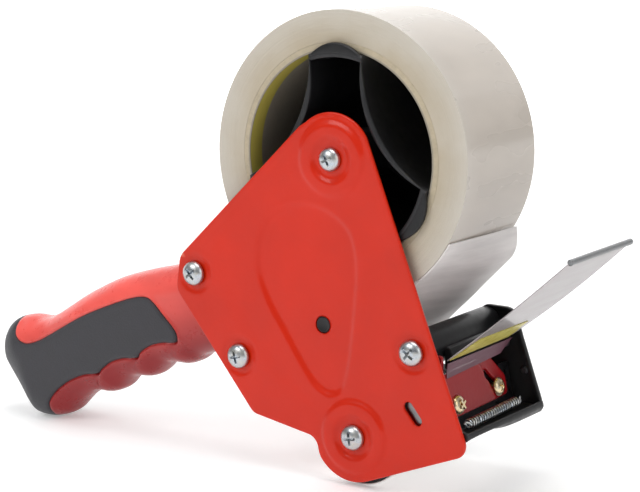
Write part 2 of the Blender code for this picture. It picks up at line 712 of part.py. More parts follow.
def blade():
    """Serrated strip behind the bracket, teeth along its lower edge."""
    back, front = -2.8, -1.8
    top, root, tip = 5.0, 21.0, 22.6
    pitch = 2.0
    count = 24
    start = 6.0
    outline = [(start, -top), (start, -root)]
    for index in range(count):
        outline.append((start + pitch * (index + 0.5), -tip))
        outline.append((start + pitch * (index + 1.0), -root))
    outline.append((start + pitch * count, -top))
    holes = [circle((y, -BLADE_SCREW_DROP), 2.0, 16) for y in BLADE_SCREW_Y.values()]
    body = leaning_sheet("blade", [outline, *holes], (back + front) / 2.0, front - back)
    finish(body, "steel", "frame")
    for label, y in BLADE_SCREW_Y.items():
        screw = cross_rod(f"blade_screw_{label}", y, 1.7, -7.0, 0.9)
        join(screw, cross_rod(f"blade_screw_head_{label}", y, 3.4, GAP, 2.3))
        finish(screw, "brass", "frame")
        nut = cross_rod(f"blade_nut_{label}", y, 3.4, -6.0, -3.1)
        cut(nut, cross_rod(f"blade_nut_bore_{label}", y, 2.0, -8.0, 4.0))
        finish(nut, "zinc", "frame")


def leaning_sheet(name, outlines, offset, thickness):
    """Sheet parallel to the bracket's face, outlines in (y, distance up)."""
    curve = bpy.data.curves.new(name, "CURVE")
    curve.dimensions = "2D"
    curve.fill_mode = "BOTH"
    curve.extrude = thickness / 2.0 * MM
    for points in outlines:
        add_spline(curve, points)
    x, z = bracket_line(0.0, offset)
    lean = math.radians(90.0 - BRACKET_LEAN)
    obj = add_object(name, curve, place(x, 0.0, z), (lean, 0.0, math.radians(90)))
    return curve_to_mesh(obj)


def wiper():
    clamp = slab("wiper_clamp", rounded([(41.0, -63.4, 0.8), (43.0, -64.2, 0.8),
                                         (44.3, -67.0, 0.6), (43.4, -72.0, 0.4),
                                         (41.0, -72.0, 0.6)], 3), WIPER_Y[0], WIPER_Y[1])
    finish(clamp, "black_plastic", "frame")
    root, tip = Vector(WIPER_ROOT), Vector(WIPER_TIP)
    step = (tip - root).normalized()
    edge_r = 1.1
    last = tip - step * (edge_r + GAP)
    flap = slab("wiper_flap", strip([tuple(root), tuple(last)], WIPER_THICK), *WIPER_Y)
    finish(flap, "flap_film", "wiper")
    edge = rod("wiper_edge", tuple(tip), edge_r, WIPER_Y[0], WIPER_Y[1], 24)
    finish(edge, "steel", "wiper")


# ---- build ------------------------------------------------------------------
def clear_scene():
    for obj in list(bpy.data.objects):
        bpy.data.objects.remove(obj)


def add_collection(name):
    collection = bpy.data.collections.new(name)
    bpy.context.scene.collection.children.link(collection)
    return collection


def add_body(name, x, z):
    """Empty on a body's joint axis; its pieces are parented to it."""
    empty = bpy.data.objects.new(f"{name}_axis", None)
    empty.location = place(x, 0.0, z)
    WORK.objects.link(empty)
    return empty


clear_scene()
WORK = add_collection("tape_gun_dispenser")
CUTTERS = add_collection("cutters")
MATERIAL = {name: make_material(name) for name in MATERIALS}
BODY = {
    "frame": add_body("frame", *REEL_AXIS),
    "reel": add_body("reel", *REEL_AXIS),
    "tension_knob": add_body("tension_knob", *REEL_AXIS),
    "press_roller": add_body("press_roller", *ROLLER_AXIS),
    "guard": add_body("guard", *GUARD_AXIS),
    "wiper": add_body("wiper", *WIPER_ROOT),
}

side_plate()
spare_hole_plug()
handle()
handle_fasteners()
hub()
reel_axle()
brake()
tape()
press_roller()
guard()
bracket()
blade()
wiper()
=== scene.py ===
# Looks of the tape gun dispenser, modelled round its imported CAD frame.
#
# Lengths in this file are millimetres.  (x, y, z) is measured from the reel's
# axis at the side plate's outer face: x forward, y away from the plate, z up.
# `SIDE`, `LEAN`, `LEAN_BACK` and `FLAP` turn those into the row frame's metres.
import json
import math
import random

import bmesh
import bpy
import numpy as np
from mathutils import Matrix, Vector
from mathutils.geometry import delaunay_2d_cdt


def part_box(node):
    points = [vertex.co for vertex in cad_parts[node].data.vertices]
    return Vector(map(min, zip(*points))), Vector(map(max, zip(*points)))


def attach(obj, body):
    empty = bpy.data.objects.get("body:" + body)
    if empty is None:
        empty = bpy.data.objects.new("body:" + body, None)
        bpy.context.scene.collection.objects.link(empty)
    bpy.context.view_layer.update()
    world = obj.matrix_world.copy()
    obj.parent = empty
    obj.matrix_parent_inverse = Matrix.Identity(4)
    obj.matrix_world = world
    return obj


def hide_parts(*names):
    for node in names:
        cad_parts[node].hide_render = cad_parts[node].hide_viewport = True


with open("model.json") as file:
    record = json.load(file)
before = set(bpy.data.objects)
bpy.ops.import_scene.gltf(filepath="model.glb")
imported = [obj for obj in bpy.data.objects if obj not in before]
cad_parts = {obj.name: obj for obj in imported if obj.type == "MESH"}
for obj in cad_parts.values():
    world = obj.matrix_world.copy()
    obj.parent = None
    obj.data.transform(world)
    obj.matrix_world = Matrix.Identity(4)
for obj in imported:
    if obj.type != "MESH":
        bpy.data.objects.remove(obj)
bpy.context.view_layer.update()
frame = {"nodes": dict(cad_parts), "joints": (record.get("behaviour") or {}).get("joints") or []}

MM = 0.001
GAP = 0.3                         # air between neighbours, as in the CAD
JOINT = {joint["name"]: joint for joint in frame["joints"]}
REEL = Vector(JOINT["reel_spin"]["pos_m"])
PLATE_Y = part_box("side_plate")[0].y
ORIGIN = Vector((REEL.x, PLATE_Y, REEL.z))


# ---- reading the frame -------------------------------------------------------
def to_local(point):
    """A row-frame point as (x, y, z) millimetres from the reel."""
    return (Vector(point) - ORIGIN) / MM


def node_box(node):
    low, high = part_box(node)
    return to_local(low), to_local(high)


def node_span(node):
    """Where a node starts and ends along y."""
    low, high = node_box(node)
    return low.y, high.y


def node_axis(node):
    """(x, z) of a turned node's axis."""
    low, high = node_box(node)
    return ((low.x + high.x) / 2.0, (low.z + high.z) / 2.0)


def radius_of(node):
    low, high = node_box(node)
    return (high.x - low.x) / 2.0


def basis(origin, u, v, w):
    """Matrix from millimetres along u, v and w to the row frame's metres."""
    matrix = Matrix.Identity(4)
    for column, axis in enumerate((u, v, w)):
        for row in range(3):
            matrix[row][column] = axis[row] * MM
    place = ORIGIN + Vector(origin) * MM
    for row in range(3):
        matrix[row][3] = place[row]
    return matrix


X_AXIS, Y_AXIS, Z_AXIS = Vector((1, 0, 0)), Vector((0, 1, 0)), Vector((0, 0, 1))
SIDE = basis((0, 0, 0), X_AXIS, Z_AXIS, Y_AXIS)      # u = x, v = z, w = y

# Axes of the fasteners and the turning pieces
HUB_AXIS = (0.0, 0.0)
ROLLER_AXIS = node_axis("roller_axle_screw")
GUARD_AXIS = node_axis("guard_rod_screw")
HANDLE_SCREWS = {name: node_axis(f"handle_screw_{name}") for name in ("upper", "lower")}
PLATE_THICK = node_box("side_plate")[1].y
CORE_WALL = 2.6
CORE_OUTER_R = radius_of("tape_core")
CORE_BORE_R = CORE_OUTER_R - CORE_WALL
ROLL_R = radius_of("tape_roll")
TAPE_NEAR_Y, TAPE_FAR_Y = node_span("tape_roll")
ROLLER_R = radius_of("roller_sleeve")

# The bracket's sheet leans forward of straight down
BRACKET_TOP = (43.5, -72.5)
BRACKET_DROP = 15.9
BRACKET_LEAN = math.radians(12.7)
LEAN_UP = Vector((-math.sin(BRACKET_LEAN), 0.0, math.cos(BRACKET_LEAN)))
LEAN_FRONT = Vector((math.cos(BRACKET_LEAN), 0.0, math.sin(BRACKET_LEAN)))
LEAN = basis((BRACKET_TOP[0], 0.0, BRACKET_TOP[1]), Y_AXIS, LEAN_UP, LEAN_FRONT)


# ---- material nodes ----------------------------------------------------------
def shader_of(name, colour, roughness, metallic=0.0, **constants):
    """New material; `constants` are fixed values on the shader's own sockets."""
    material = bpy.data.materials.new(name)
    material.use_nodes = True
    shader = material.node_tree.nodes["Principled BSDF"]
    shader.inputs["Base Color"].default_value = (*colour, 1.0)
    shader.inputs["Roughness"].default_value = roughness
    shader.inputs["Metallic"].default_value = metallic
    for socket, value in constants.items():
        shader.inputs[socket.replace("_", " ")].default_value = value
    return material, material.node_tree, shader


def node(tree, kind, feeds=None, **settings):
    """New node with its settings, and a value or a link for each socket in `feeds`."""
    made = tree.nodes.new(kind)
    for name, value in settings.items():
        setattr(made, name, value)
    for socket, value in (feeds or {}).items():
        feed(tree, made.inputs[socket], value)
    return made


def feed(tree, socket, value):
    """Link a node's output to a socket, or set a plain value on it."""
    if isinstance(value, bpy.types.NodeSocket):
        tree.links.new(value, socket)
    elif isinstance(value, tuple) and len(value) == 3 and socket.type == "RGBA":
        socket.default_value = (*value, 1.0)
    else:
        socket.default_value = value


def coordinates(tree, centre=(0.0, 0.0, 0.0), stretch=(1.0, 1.0, 1.0)):
    """Place on the piece in millimetres from `centre`, squeezed by `stretch`."""
    place = node(tree, "ShaderNodeTexCoord").outputs["Object"]
    origin = ORIGIN + Vector(centre) * MM
    shift = node(tree, "ShaderNodeVectorMath", {0: place, 1: origin}, operation="SUBTRACT")
    factors = [factor / MM for factor in stretch]
    scale = node(tree, "ShaderNodeVectorMath", {0: shift.outputs[0], 1: factors},
                 operation="MULTIPLY")
    return scale.outputs[0]


def noise(tree, vector, size, detail=3.0, roughness=0.5):
    """Cloudy value from 0 to 1 with features about `size` millimetres across."""
    feeds = {"Vector": vector, "Scale": 1.0 / size, "Detail": detail, "Roughness": roughness}
    return node(tree, "ShaderNodeTexNoise", feeds).outputs[0]


def remap(tree, value, low, high, to_low=0.0, to_high=1.0):
    feeds = {"Value": value, "From Min": low, "From Max": high, "To Min": to_low,
             "To Max": to_high}
    return node(tree, "ShaderNodeMapRange", feeds).outputs[0]


def mix(tree, factor, first, second):
    feeds = {0: factor, 6: first, 7: second}   # the colour sockets' places
    return node(tree, "ShaderNodeMix", feeds, data_type="RGBA").outputs[2]


def maths(tree, operation, first, second=0.0):
    return node(tree, "ShaderNodeMath", {0: first, 1: second}, operation=operation).outputs[0]


def bump(tree, shader, height, depth, strength=1.0, under=None):
    """Bump of `depth` millimetres, stacked on an earlier bump if given."""
    feeds = {"Strength": strength, "Distance": depth * MM, "Height": height}
    if under is not None:
        feeds["Normal"] = under
    made = node(tree, "ShaderNodeBump", feeds)
    feed(tree, shader.inputs["Normal"], made.outputs[0])
    return made.outputs[0]


def length_of(tree, vector):
    return node(tree, "ShaderNodeVectorMath", {0: vector}, operation="LENGTH").outputs["Value"]


def radius_from(tree, axis):
    """Distance in millimetres from a line along y through `axis` (x, z)."""
    return length_of(tree, coordinates(tree, (axis[0], 0.0, axis[1]), (1.0, 0.0, 1.0)))


def along_y(tree):
    return node(tree, "ShaderNodeSeparateXYZ", {0: coordinates(tree)}).outputs[1]


def edges(tree, low, high):
    """1 on outward edges, 0 on flats and in hollows."""
    geometry = node(tree, "ShaderNodeNewGeometry")
    return remap(tree, geometry.outputs["Pointiness"], low, high)


def shade(colour, factor):
    return tuple(min(1.0, channel * factor) for channel in colour)


def mottled(tree, value, limits, colour, shades):
    """Goes between two shades of a colour as the value goes between its limits."""
    return mix(tree, remap(tree, value, *limits), *[shade(colour, factor) for factor in shades])


# ---- materials ---------------------------------------------------------------
def enamel(name, colour, edge_colour, coat):
    """Stoved enamel: slight orange peel, faint scuffs, thin paint and a painted highlight on the
    edges.
    """
    material, tree, shader = shader_of(name, colour, 0.3, Coat_Weight=coat,
                                       Coat_Roughness=0.10, Specular_IOR_Level=0.2)
    where = coordinates(tree)
    clouds = noise(tree, where, 26.0, 4.0)
    tone = mottled(tree, clouds, (0.3, 0.7), colour, (0.93, 1.06))
    specks = remap(tree, noise(tree, where, 0.7, 2.0), 0.70, 0.78)
    tone = mix(tree, maths(tree, "MULTIPLY", specks, 0.10), tone, shade(colour, 0.6))
    # Lighter edges: thin paint, with a painted highlight where the edges catch the light.
    worn_and_lit_edges = maths(tree, "MULTIPLY", edges(tree, 0.53, 0.62), 0.75)
    tone = mix(tree, worn_and_lit_edges, tone, edge_colour)
    feed(tree, shader.inputs["Base Color"], tone)
    scuffs = noise(tree, coordinates(tree, stretch=(0.25, 1.0, 1.6)), 3.2, 5.0, 0.65)
    feed(tree, shader.inputs["Roughness"], remap(tree, scuffs, 0.35, 0.8, 0.28, 0.37))
    peel = noise(tree, where, 1.6, 1.5)
    under = bump(tree, shader, peel, 0.05)
    bump(tree, shader, clouds, 0.12, 0.5, under)
    return material


HANDLE_UP = (-0.34, 0.0, 1.0)     # square to the handle's length, in the x-z plane
HANDLE_SHADE_SPAN = (-28.0, -55.0)     # along HANDLE_UP, from the lit red to the full painted shade of the lower side


def moulded(name, colour, roughness, grain, edge_colour, edge_share, gloss, below=None):
    """Injection moulding: fine spark texture, flow tone, scuffed edges that also carry a painted
    highlight.

    `below` is a painted shade: the deeper colour that the handle's lower side goes to, where less
    light falls.
    """
    material, tree, shader = shader_of(name, colour, roughness, Coat_Weight=gloss,
                                       Coat_Roughness=0.2, Specular_IOR_Level=0.3 + gloss)
    where = coordinates(tree)
    flow = noise(tree, coordinates(tree, stretch=(0.6, 1.0, 1.4)), 14.0, 3.0)
    tone = mottled(tree, flow, (0.3, 0.7), colour, (0.88, 1.10))
    # Painted shade: the handle's lower side darkens towards `below`.
    if below:
        height = node(tree, "ShaderNodeVectorMath", {0: where, 1: HANDLE_UP},
                      operation="DOT_PRODUCT")
        lower = remap(tree, height.outputs["Value"], *HANDLE_SHADE_SPAN)
        tone = mix(tree, lower, tone, below)
    # Lighter edges: scuffs, with a painted highlight on the rims.
    worn_and_lit_edges = maths(tree, "MULTIPLY", edges(tree, 0.52, 0.63), edge_share)
    tone = mix(tree, worn_and_lit_edges, tone, edge_colour)
    feed(tree, shader.inputs["Base Color"], tone)
    patches = noise(tree, where, 4.5, 4.0, 0.6)
    spread = remap(tree, patches, 0.3, 0.75, roughness - 0.07, roughness + 0.12)
    feed(tree, shader.inputs["Roughness"], spread)
    bump(tree, shader, noise(tree, where, 0.45, 2.0), grain)
    return material


def soft_rubber():
    """Overmoulded grip: matt, finely stippled, a little dust in the stipple."""
    colour = (0.026, 0.0255, 0.031)
    material, tree, shader = shader_of("soft_grip_rubber", colour, 0.62, Sheen_Weight=0.12,
                                       Sheen_Roughness=0.5)
    where = coordinates(tree)
    stipple = node(tree, "ShaderNodeTexVoronoi", {"Vector": where, "Scale": 1.0 / 0.75},
                   feature="F1").outputs["Distance"]
    dust = noise(tree, where, 9.0, 5.0, 0.6)
    tone = mottled(tree, dust, (0.35, 0.75), colour, (0.82, 1.35))
    tone = mix(tree, maths(tree, "MULTIPLY", stipple, 0.25), tone, shade(colour, 1.8))
    feed(tree, shader.inputs["Base Color"], tone)
    feed(tree, shader.inputs["Roughness"], remap(tree, dust, 0.3, 0.8, 0.52, 0.72))
    under = bump(tree, shader, stipple, 0.05)
    bump(tree, shader, noise(tree, where, 2.2, 3.0), 0.05, 0.6, under)
    return material


def roller_rubber():
    """Ground rubber sleeve: matt with fine lines round it."""
    colour = (0.022, 0.022, 0.023)
    material, tree, shader = shader_of("roller_rubber", colour, 0.7)
    lines = noise(tree, coordinates(tree, stretch=(0.08, 4.0, 0.08)), 1.2, 4.0, 0.7)
    dust = noise(tree, coordinates(tree), 7.0, 4.0)
    tone = mix(tree, remap(tree, dust, 0.4, 0.8), colour, shade(colour, 2.2))
    feed(tree, shader.inputs["Base Color"], tone)
    feed(tree, shader.inputs["Roughness"], remap(tree, lines, 0.3, 0.7, 0.58, 0.82))
    bump(tree, shader, lines, 0.06)
    return material


def plated(name, colour, tint, roughness, lines=1.0):
    """Plated or bright metal: uneven plating tint, tool lines, dull spots."""
    material, tree, shader = shader_of(name, colour, roughness, 1.0)
    where = coordinates(tree)
    clouds = noise(tree, where, 2.6, 4.0, 0.6)
    tone = mix(tree, remap(tree, clouds, 0.35, 0.65), colour, tint)
    spots = remap(tree, noise(tree, where, 0.8, 3.0), 0.62, 0.74)
    tone = mix(tree, maths(tree, "MULTIPLY", spots, 0.5), tone, shade(colour, 0.55))
    feed(tree, shader.inputs["Base Color"], tone)
    turning = noise(tree, coordinates(tree, stretch=(0.15, 3.0, 0.15)), 0.8, 3.0)
    rough = remap(tree, clouds, 0.3, 0.8, roughness - 0.08, roughness + 0.14)
    feed(tree, shader.inputs["Roughness"], rough)
    bump(tree, shader, turning, 0.015 * lines)
    return material


def tape_side():
    """Cut side of the roll: hundreds of layers, yellower near the core."""
    cream = (0.52, 0.47, 0.40)
    material, tree, shader = shader_of("tape_side", cream, 0.42, Coat_Weight=0.15,
                                       Coat_Roughness=0.3)
    radius = radius_from(tree, HUB_AXIS)
    feeds = {"W": maths(tree, "MULTIPLY", radius, 2.6), "Scale": 1.0, "Detail": 6.0,
             "Roughness": 0.75}
    layers = node(tree, "ShaderNodeTexNoise", feeds, noise_dimensions="1D").outputs[0]
    depth = remap(tree, radius, CORE_OUTER_R, ROLL_R)
    tone = mix(tree, depth, (0.46, 0.385, 0.265), (0.57, 0.53, 0.46))
    tone = mix(tree, remap(tree, layers, 0.3, 0.7, 0.0, 0.30), tone, (0.42, 0.35, 0.27))
    haze = noise(tree, coordinates(tree), 16.0, 3.0)
    tone = mix(tree, remap(tree, haze, 0.35, 0.7, 0.0, 0.35), tone, (0.61, 0.58, 0.52))
    feed(tree, shader.inputs["Base Color"], tone)
    feed(tree, shader.inputs["Roughness"], remap(tree, layers, 0.3, 0.7, 0.34, 0.5))
    bump(tree, shader, layers, 0.12)
    return material


def tape_face():
    """Wound face of the roll: glossy film, with trapped air in long patches."""
    colour = (0.535, 0.478, 0.418)
    material, tree, shader = shader_of("tape_face", colour, 0.3, Coat_Weight=0.25,
                                       Coat_Roughness=0.1)
    stretched = coordinates(tree, stretch=(0.45, 0.16, 0.45))
    air = noise(tree, stretched, 5.5, 2.0, 0.45)
    tone = mottled(tree, air, (0.35, 0.68), colour, (0.95, 1.06))
    near_edge = remap(tree, along_y(tree), TAPE_NEAR_Y, TAPE_NEAR_Y + 9.0, 0.5, 0.0)
    tone = mix(tree, near_edge, tone, (0.60, 0.55, 0.49))
    feed(tree, shader.inputs["Base Color"], tone)
    feed(tree, shader.inputs["Roughness"], remap(tree, air, 0.3, 0.7, 0.24, 0.36))
    bump(tree, shader, air, 0.03)
    return material


def film(name, colour, roughness, alpha, streak, coat=0.4):
    """Clear-ish plastic film with faint drawing streaks."""
    material, tree, shader = shader_of(name, colour, roughness, Alpha=alpha,
                                       Coat_Weight=coat, Coat_Roughness=0.08)
    streaks = noise(tree, coordinates(tree, stretch=streak), 4.0, 4.0, 0.6)
    tone = mottled(tree, streaks, (0.3, 0.7), colour, (0.90, 1.08))
    feed(tree, shader.inputs["Base Color"], tone)
    feed(tree, shader.inputs["Roughness"],
         remap(tree, streaks, 0.3, 0.7, roughness, roughness + 0.16))
    bump(tree, shader, streaks, 0.08)
    return material


def card():
    """Wound paperboard core: fibres, and a plain yellow band inside near one end."""
    cream = (0.46, 0.39, 0.275)
    material, tree, shader = shader_of("core_card", cream, 0.6)
    fibres = noise(tree, coordinates(tree, stretch=(0.5, 2.0, 0.5)), 1.4, 6.0, 0.7)
    tone = mottled(tree, fibres, (0.3, 0.7), cream, (0.86, 1.12))
    reach = along_y(tree)
    band_start = remap(tree, reach, TAPE_NEAR_Y + 0.3, TAPE_NEAR_Y + 0.5)
    band_end = remap(tree, reach, TAPE_NEAR_Y + 7.2, TAPE_NEAR_Y + 7.8, 1.0, 0.0)
    inside = remap(tree, radius_from(tree, HUB_AXIS), CORE_BORE_R + 0.5, CORE_BORE_R + 0.7,
                   1.0, 0.0)
    band = maths(tree, "MULTIPLY", maths(tree, "MULTIPLY", band_start, band_end), inside)
    tone = mix(tree, maths(tree, "MULTIPLY", inside, 0.62), tone, (0.16, 0.15, 0.14))
    tone = mix(tree, maths(tree, "MULTIPLY", band, 0.85), tone, (0.50, 0.42, 0.05))
    feed(tree, shader.inputs["Base Color"], tone)
    bump(tree, shader, fibres, 0.06)
    return material


def yellow_tape():
    colour = (0.54, 0.45, 0.035)
    material, tree, shader = shader_of("yellow_strip", colour, 0.42, Coat_Weight=0.06,
                                       Coat_Roughness=0.2)
    creases = noise(tree, coordinates(tree, stretch=(1.0, 0.35, 1.0)), 2.0, 4.0, 0.6)
    tone = mix(tree, remap(tree, creases, 0.3, 0.7), shade(colour, 0.75), (0.62, 0.56, 0.16))
    feed(tree, shader.inputs["Base Color"], tone)
    bump(tree, shader, creases, 0.08)
    return material


FINISH = {
    "red_paint": enamel("red_enamel", (0.61, 0.018, 0.002), (0.78, 0.20, 0.12), 0.24),
    "dark_red_paint": enamel("dark_red_enamel", (0.30, 0.003, 0.006), (0.42, 0.04, 0.04), 0.02),
    # The red moulding's last colour is the painted shade on the handle's lower side.
    "red_plastic": moulded("red_moulding", (0.86, 0.105, 0.085), 0.30, 0.012,
                           (0.92, 0.17, 0.14), 0.2, 0.08, (0.26, 0.004, 0.006)),
    "grey_rubber": soft_rubber(),
    # The black moulding's paler grey edge colour is a painted highlight on its rims.
    "black_plastic": moulded("black_moulding", (0.011, 0.011, 0.012), 0.36, 0.015,
                             (0.10, 0.10, 0.11), 0.35, 0.02),
    "black_rubber": roller_rubber(),
    "zinc": plated("zinc_plate", (0.47, 0.52, 0.58), (0.55, 0.55, 0.52), 0.30),
    "steel": plated("turned_steel", (0.50, 0.51, 0.53), (0.56, 0.54, 0.52), 0.30, 2.0),
    "brass": plated("brass_plate", (0.78, 0.60, 0.30), (0.70, 0.62, 0.46), 0.26),
    "tape": tape_face(),
    # The free tape's near-white colour is painted light: it stands in for light through the film
    # and lifts it out of its shade.
    "web_film": film("web_film", (0.93, 0.89, 0.87), 0.55, 0.95, (0.5, 0.12, 1.0), 0.05),
    "card": card(),
    "flap_film": film("flap_film", (0.34, 0.305, 0.31), 0.28, 0.90, (1.0, 0.15, 1.0)),
}
TAPE_SIDE = tape_side()
# Near-black steel for the blade: painted shade for where it sits behind the bracket.
BLADE_SHADE_STEEL = plated("blade_steel_painted_shade", (0.06, 0.062, 0.07), (0.09, 0.09, 0.10), 0.32)
BEAD = plated("bead_steel", (0.20, 0.21, 0.22), (0.26, 0.26, 0.26), 0.34)
YELLOW = yellow_tape()
# A darker copy of the flap film: painted shade on the film's foot by the bracket.
SHADED_FOOT_FILM = film("foot_film_painted_shade", (0.16, 0.06, 0.09), 0.4, 0.75, (1.0, 0.15, 1.0), 0.1)


# ---- shapes: loops, lofts and filled outlines --------------------------------
def polar(centre, radius, angle):
    """Point on a circle at an angle in radians."""
    return (centre[0] + radius * math.cos(angle), centre[1] + radius * math.sin(angle))


def arc(centre, radius, start, end, steps):
    """Points on an arc, angles in degrees, both ends included."""
    return [polar(centre, radius, math.radians(start + (end - start) * k / steps))
            for k in range(steps + 1)]


def circle(centre, radius, steps=40):
    return arc(centre, radius, 0.0, 360.0, steps)[:-1]


def rounded(corners, steps=8):
    """Polygon from (x, z, radius) corners, each corner with its fillet."""
    points = []
    count = len(corners)
    for index, (x, z, radius) in enumerate(corners):
        corner = Vector((x, z))
        before = (Vector(corners[index - 1][:2]) - corner).normalized()
        after = (Vector(corners[(index + 1) % count][:2]) - corner).normalized()
        if radius <= 0.0:
            points.append((x, z))
            continue
        half = before.angle(after) / 2.0
        centre = corner + (before + after).normalized() * (radius / math.sin(half))
        first = corner + before * (radius / math.tan(half)) - centre
        last = corner + after * (radius / math.tan(half)) - centre
        turn = first.angle_signed(last)
        for step in range(steps + 1):
            spoke = first.copy()
            spoke.rotate(Matrix.Rotation(-turn * step / steps, 2))
            points.append(tuple(centre + spoke))
    return points


def smooth_line(points, steps=6, closed=False):
    """Catmull-Rom curve through the points."""
    made = []
    count = len(points)
    spans = count if closed else count - 1
    for index in range(spans):
        around = []
        for offset in (-1, 0, 1, 2):
            place = index + offset
            place = place % count if closed else min(max(place, 0), count - 1)
            around.append(Vector(points[place]))
        a, b, c, d = around
        for step in range(steps):
            t = step / steps
            made.append(tuple(0.5 * (2 * b + (c - a) * t + (2 * a - 5 * b + 4 * c - d) * t * t
                                     + (3 * b - a - 3 * c + d) * t ** 3)))
    if not closed:
        made.append(tuple(points[-1]))
    return made


def evenly(points, spacing, closed=True):
    """The same line with its points about `spacing` apart, corners kept."""
    made = []
    ends = list(points[1:]) + ([points[0]] if closed else [])
    for start, end in zip(points, ends):
        a, b = Vector(start), Vector(end)
        pieces = max(1, round((b - a).length / spacing))
        made += [tuple(a.lerp(b, k / pieces)) for k in range(pieces)]
    if not closed:
        made.append(tuple(points[-1]))
    return made


def segments_of(line, closed=True):
    start = np.array(line, float)
    end = np.roll(start, -1, axis=0)
    return (start, end) if closed else (start[:-1], end[:-1])


def distance_to(points, start, end):
    """Distance from each point to the nearest of the segments."""
    nearest = np.full(len(points), np.inf)
    for a, b in zip(start, end):
        along = b - a
        share = np.clip(((points - a) @ along) / max(along @ along, 1e-12), 0.0, 1.0)
        gap = np.linalg.norm(points - (a + share[:, None] * along), axis=1)
        nearest = np.minimum(nearest, gap)
    return nearest


def inside(points, loops):
    """True where a point is inside an odd number of the loops."""
    odd = np.zeros(len(points), bool)
    for loop in loops:
        for (x0, z0), (x1, z1) in zip(loop, list(loop[1:]) + [loop[0]]):
            if z0 == z1:
                continue
            level = (points[:, 1] >= min(z0, z1)) & (points[:, 1] < max(z0, z1))
            cross = x0 + (points[:, 1] - z0) * (x1 - x0) / (z1 - z0)
            odd ^= level & (points[:, 0] < cross)
    return odd


def edge_distance(points, loops):
    nearest = np.full(len(points), np.inf)
    for loop in loops:
        nearest = np.minimum(nearest, distance_to(points, *segments_of(loop)))
    return nearest


def square_to(steps):
    """Unit vectors a quarter turn from each step of a line."""
    along = steps / np.maximum(np.linalg.norm(steps, axis=1), 1e-9)[:, None]
    return np.stack([-along[:, 1], along[:, 0]], axis=1)


def away_from(points, centre):
    return np.linalg.norm(points - np.array(centre), axis=1)


def offset_points(loop, distance):
    """Points on both sides of a loop, `distance` away from it."""
    line = np.array(loop, float)
    side = square_to(np.roll(line, -1, axis=0) - np.roll(line, 1, axis=0))
    return np.concatenate([line + side * distance, line - side * distance])


def fill(loops, spacing, rings=(), creases=()):
    """Triangles over the region inside loops[0] and outside the other loops.

    `rings` are distances from the edge that get their own rows of points, and
    `creases` are open lines that triangle edges must follow.
    """
    everything = np.concatenate([np.array(loop, float) for loop in loops])
    low, high = everything.min(0), everything.max(0)
    rows = np.arange(low[1], high[1], spacing * 0.87)
    grid = [(x + (k % 2) * spacing / 2.0, z) for k, z in enumerate(rows)
            for x in np.arange(low[0], high[0], spacing)]
    grid = np.array(grid)
    clear = max(rings, default=0.0) + spacing * 0.55
    grid = grid[inside(grid, loops) & (edge_distance(grid, loops) > clear)]
    chosen = [grid]
    for ring in rings:
        near = np.concatenate([offset_points(loop, ring) for loop in loops])
        near = near[inside(near, loops)]
        chosen.append(near[edge_distance(near, loops) > ring * 0.985])
    free = np.concatenate(chosen)
    for line in creases:
        free = free[distance_to(free, *segments_of(line, False)) > spacing * 0.3]
    points, links = [], []
    for line, closed in [(loop, True) for loop in loops] + [(c, False) for c in creases]:
        first = len(points)
        points += [tuple(p) for p in line]
        links += [(first + k, first + k + 1) for k in range(len(line) - 1)]
        if closed:
            links.append((len(points) - 1, first))
    points += [tuple(p) for p in free]
    made = delaunay_2d_cdt([Vector(p) for p in points], links, [], 0, 1e-5)
    flat = np.array([tuple(v) for v in made[0]])
    triangles = np.array([f for f in made[2] if len(f) == 3])
    middle = flat[triangles].mean(axis=1)
    return flat, triangles[inside(middle, loops)]


def rim_of(triangles):
    """Directed edges that only one triangle has."""
    seen = {}
    for face in triangles:
        for a, b in ((face[0], face[1]), (face[1], face[2]), (face[2], face[0])):
            seen[(int(a), int(b))] = True
    return [edge for edge in seen if (edge[1], edge[0]) not in seen]


def between(flat, triangles, top, bottom):
    """Closed solid between two heights over the same triangles."""
    used = sorted(set(int(k) for k in triangles.ravel()))
    index = {k: n for n, k in enumerate(used)}
    count = len(used)
    verts = [(flat[k][0], flat[k][1], top[k]) for k in used]
    verts += [(flat[k][0], flat[k][1], bottom[k]) for k in used]
    faces = []
    for face in triangles:
        a, b, c = (index[int(k)] for k in face)
        faces.append((a, b, c))
        faces.append((c + count, b + count, a + count))
    for a, b in rim_of(triangles):
        a, b = index[a], index[b]
        faces.append((b, a, a + count, b + count))
    return verts, faces


def roll_off(distance, radius):
    """How far a rounded edge falls away at a distance from the edge."""
    inner = np.clip(radius - distance, 0.0, radius)
    return radius - np.sqrt(np.maximum(radius ** 2 - inner ** 2, 0.0))


def sheet(loops, near, far, edge, spacing, near_height=None, far_height=None, detail=0.7):
    """Flat piece with rounded edges; heights are functions of (points)."""
    loops = [evenly(loop, detail) for loop in loops]
    rings = [edge * share for share in (0.08, 0.3, 0.62, 1.0)]
    flat, triangles = fill(loops, spacing, rings)
    distance = edge_distance(flat, loops)
    top = near + roll_off(distance, edge)
    bottom = far - roll_off(distance, edge)
    if near_height:
        top = top + near_height(flat)
    if far_height:
        bottom = bottom + far_height(flat)
    return between(flat, triangles, top, bottom)


def loft(loops, ring=False):
    """Skin through equal loops; `ring` joins the last loop to the first."""
    count = len(loops[0])
    verts = [tuple(point) for loop in loops for point in loop]
    pairs = [(k, k + 1) for k in range(len(loops) - 1)]
    if ring:
        pairs.append((len(loops) - 1, 0))
    faces = []
    for low, high in pairs:
        for k in range(count):
            after = (k + 1) % count
            faces.append((low * count + k, low * count + after,
                          high * count + after, high * count + k))
    if not ring:
        faces.append(tuple(range(count))[::-1])
        faces.append(tuple(range(len(verts) - count, len(verts))))
    return verts, faces


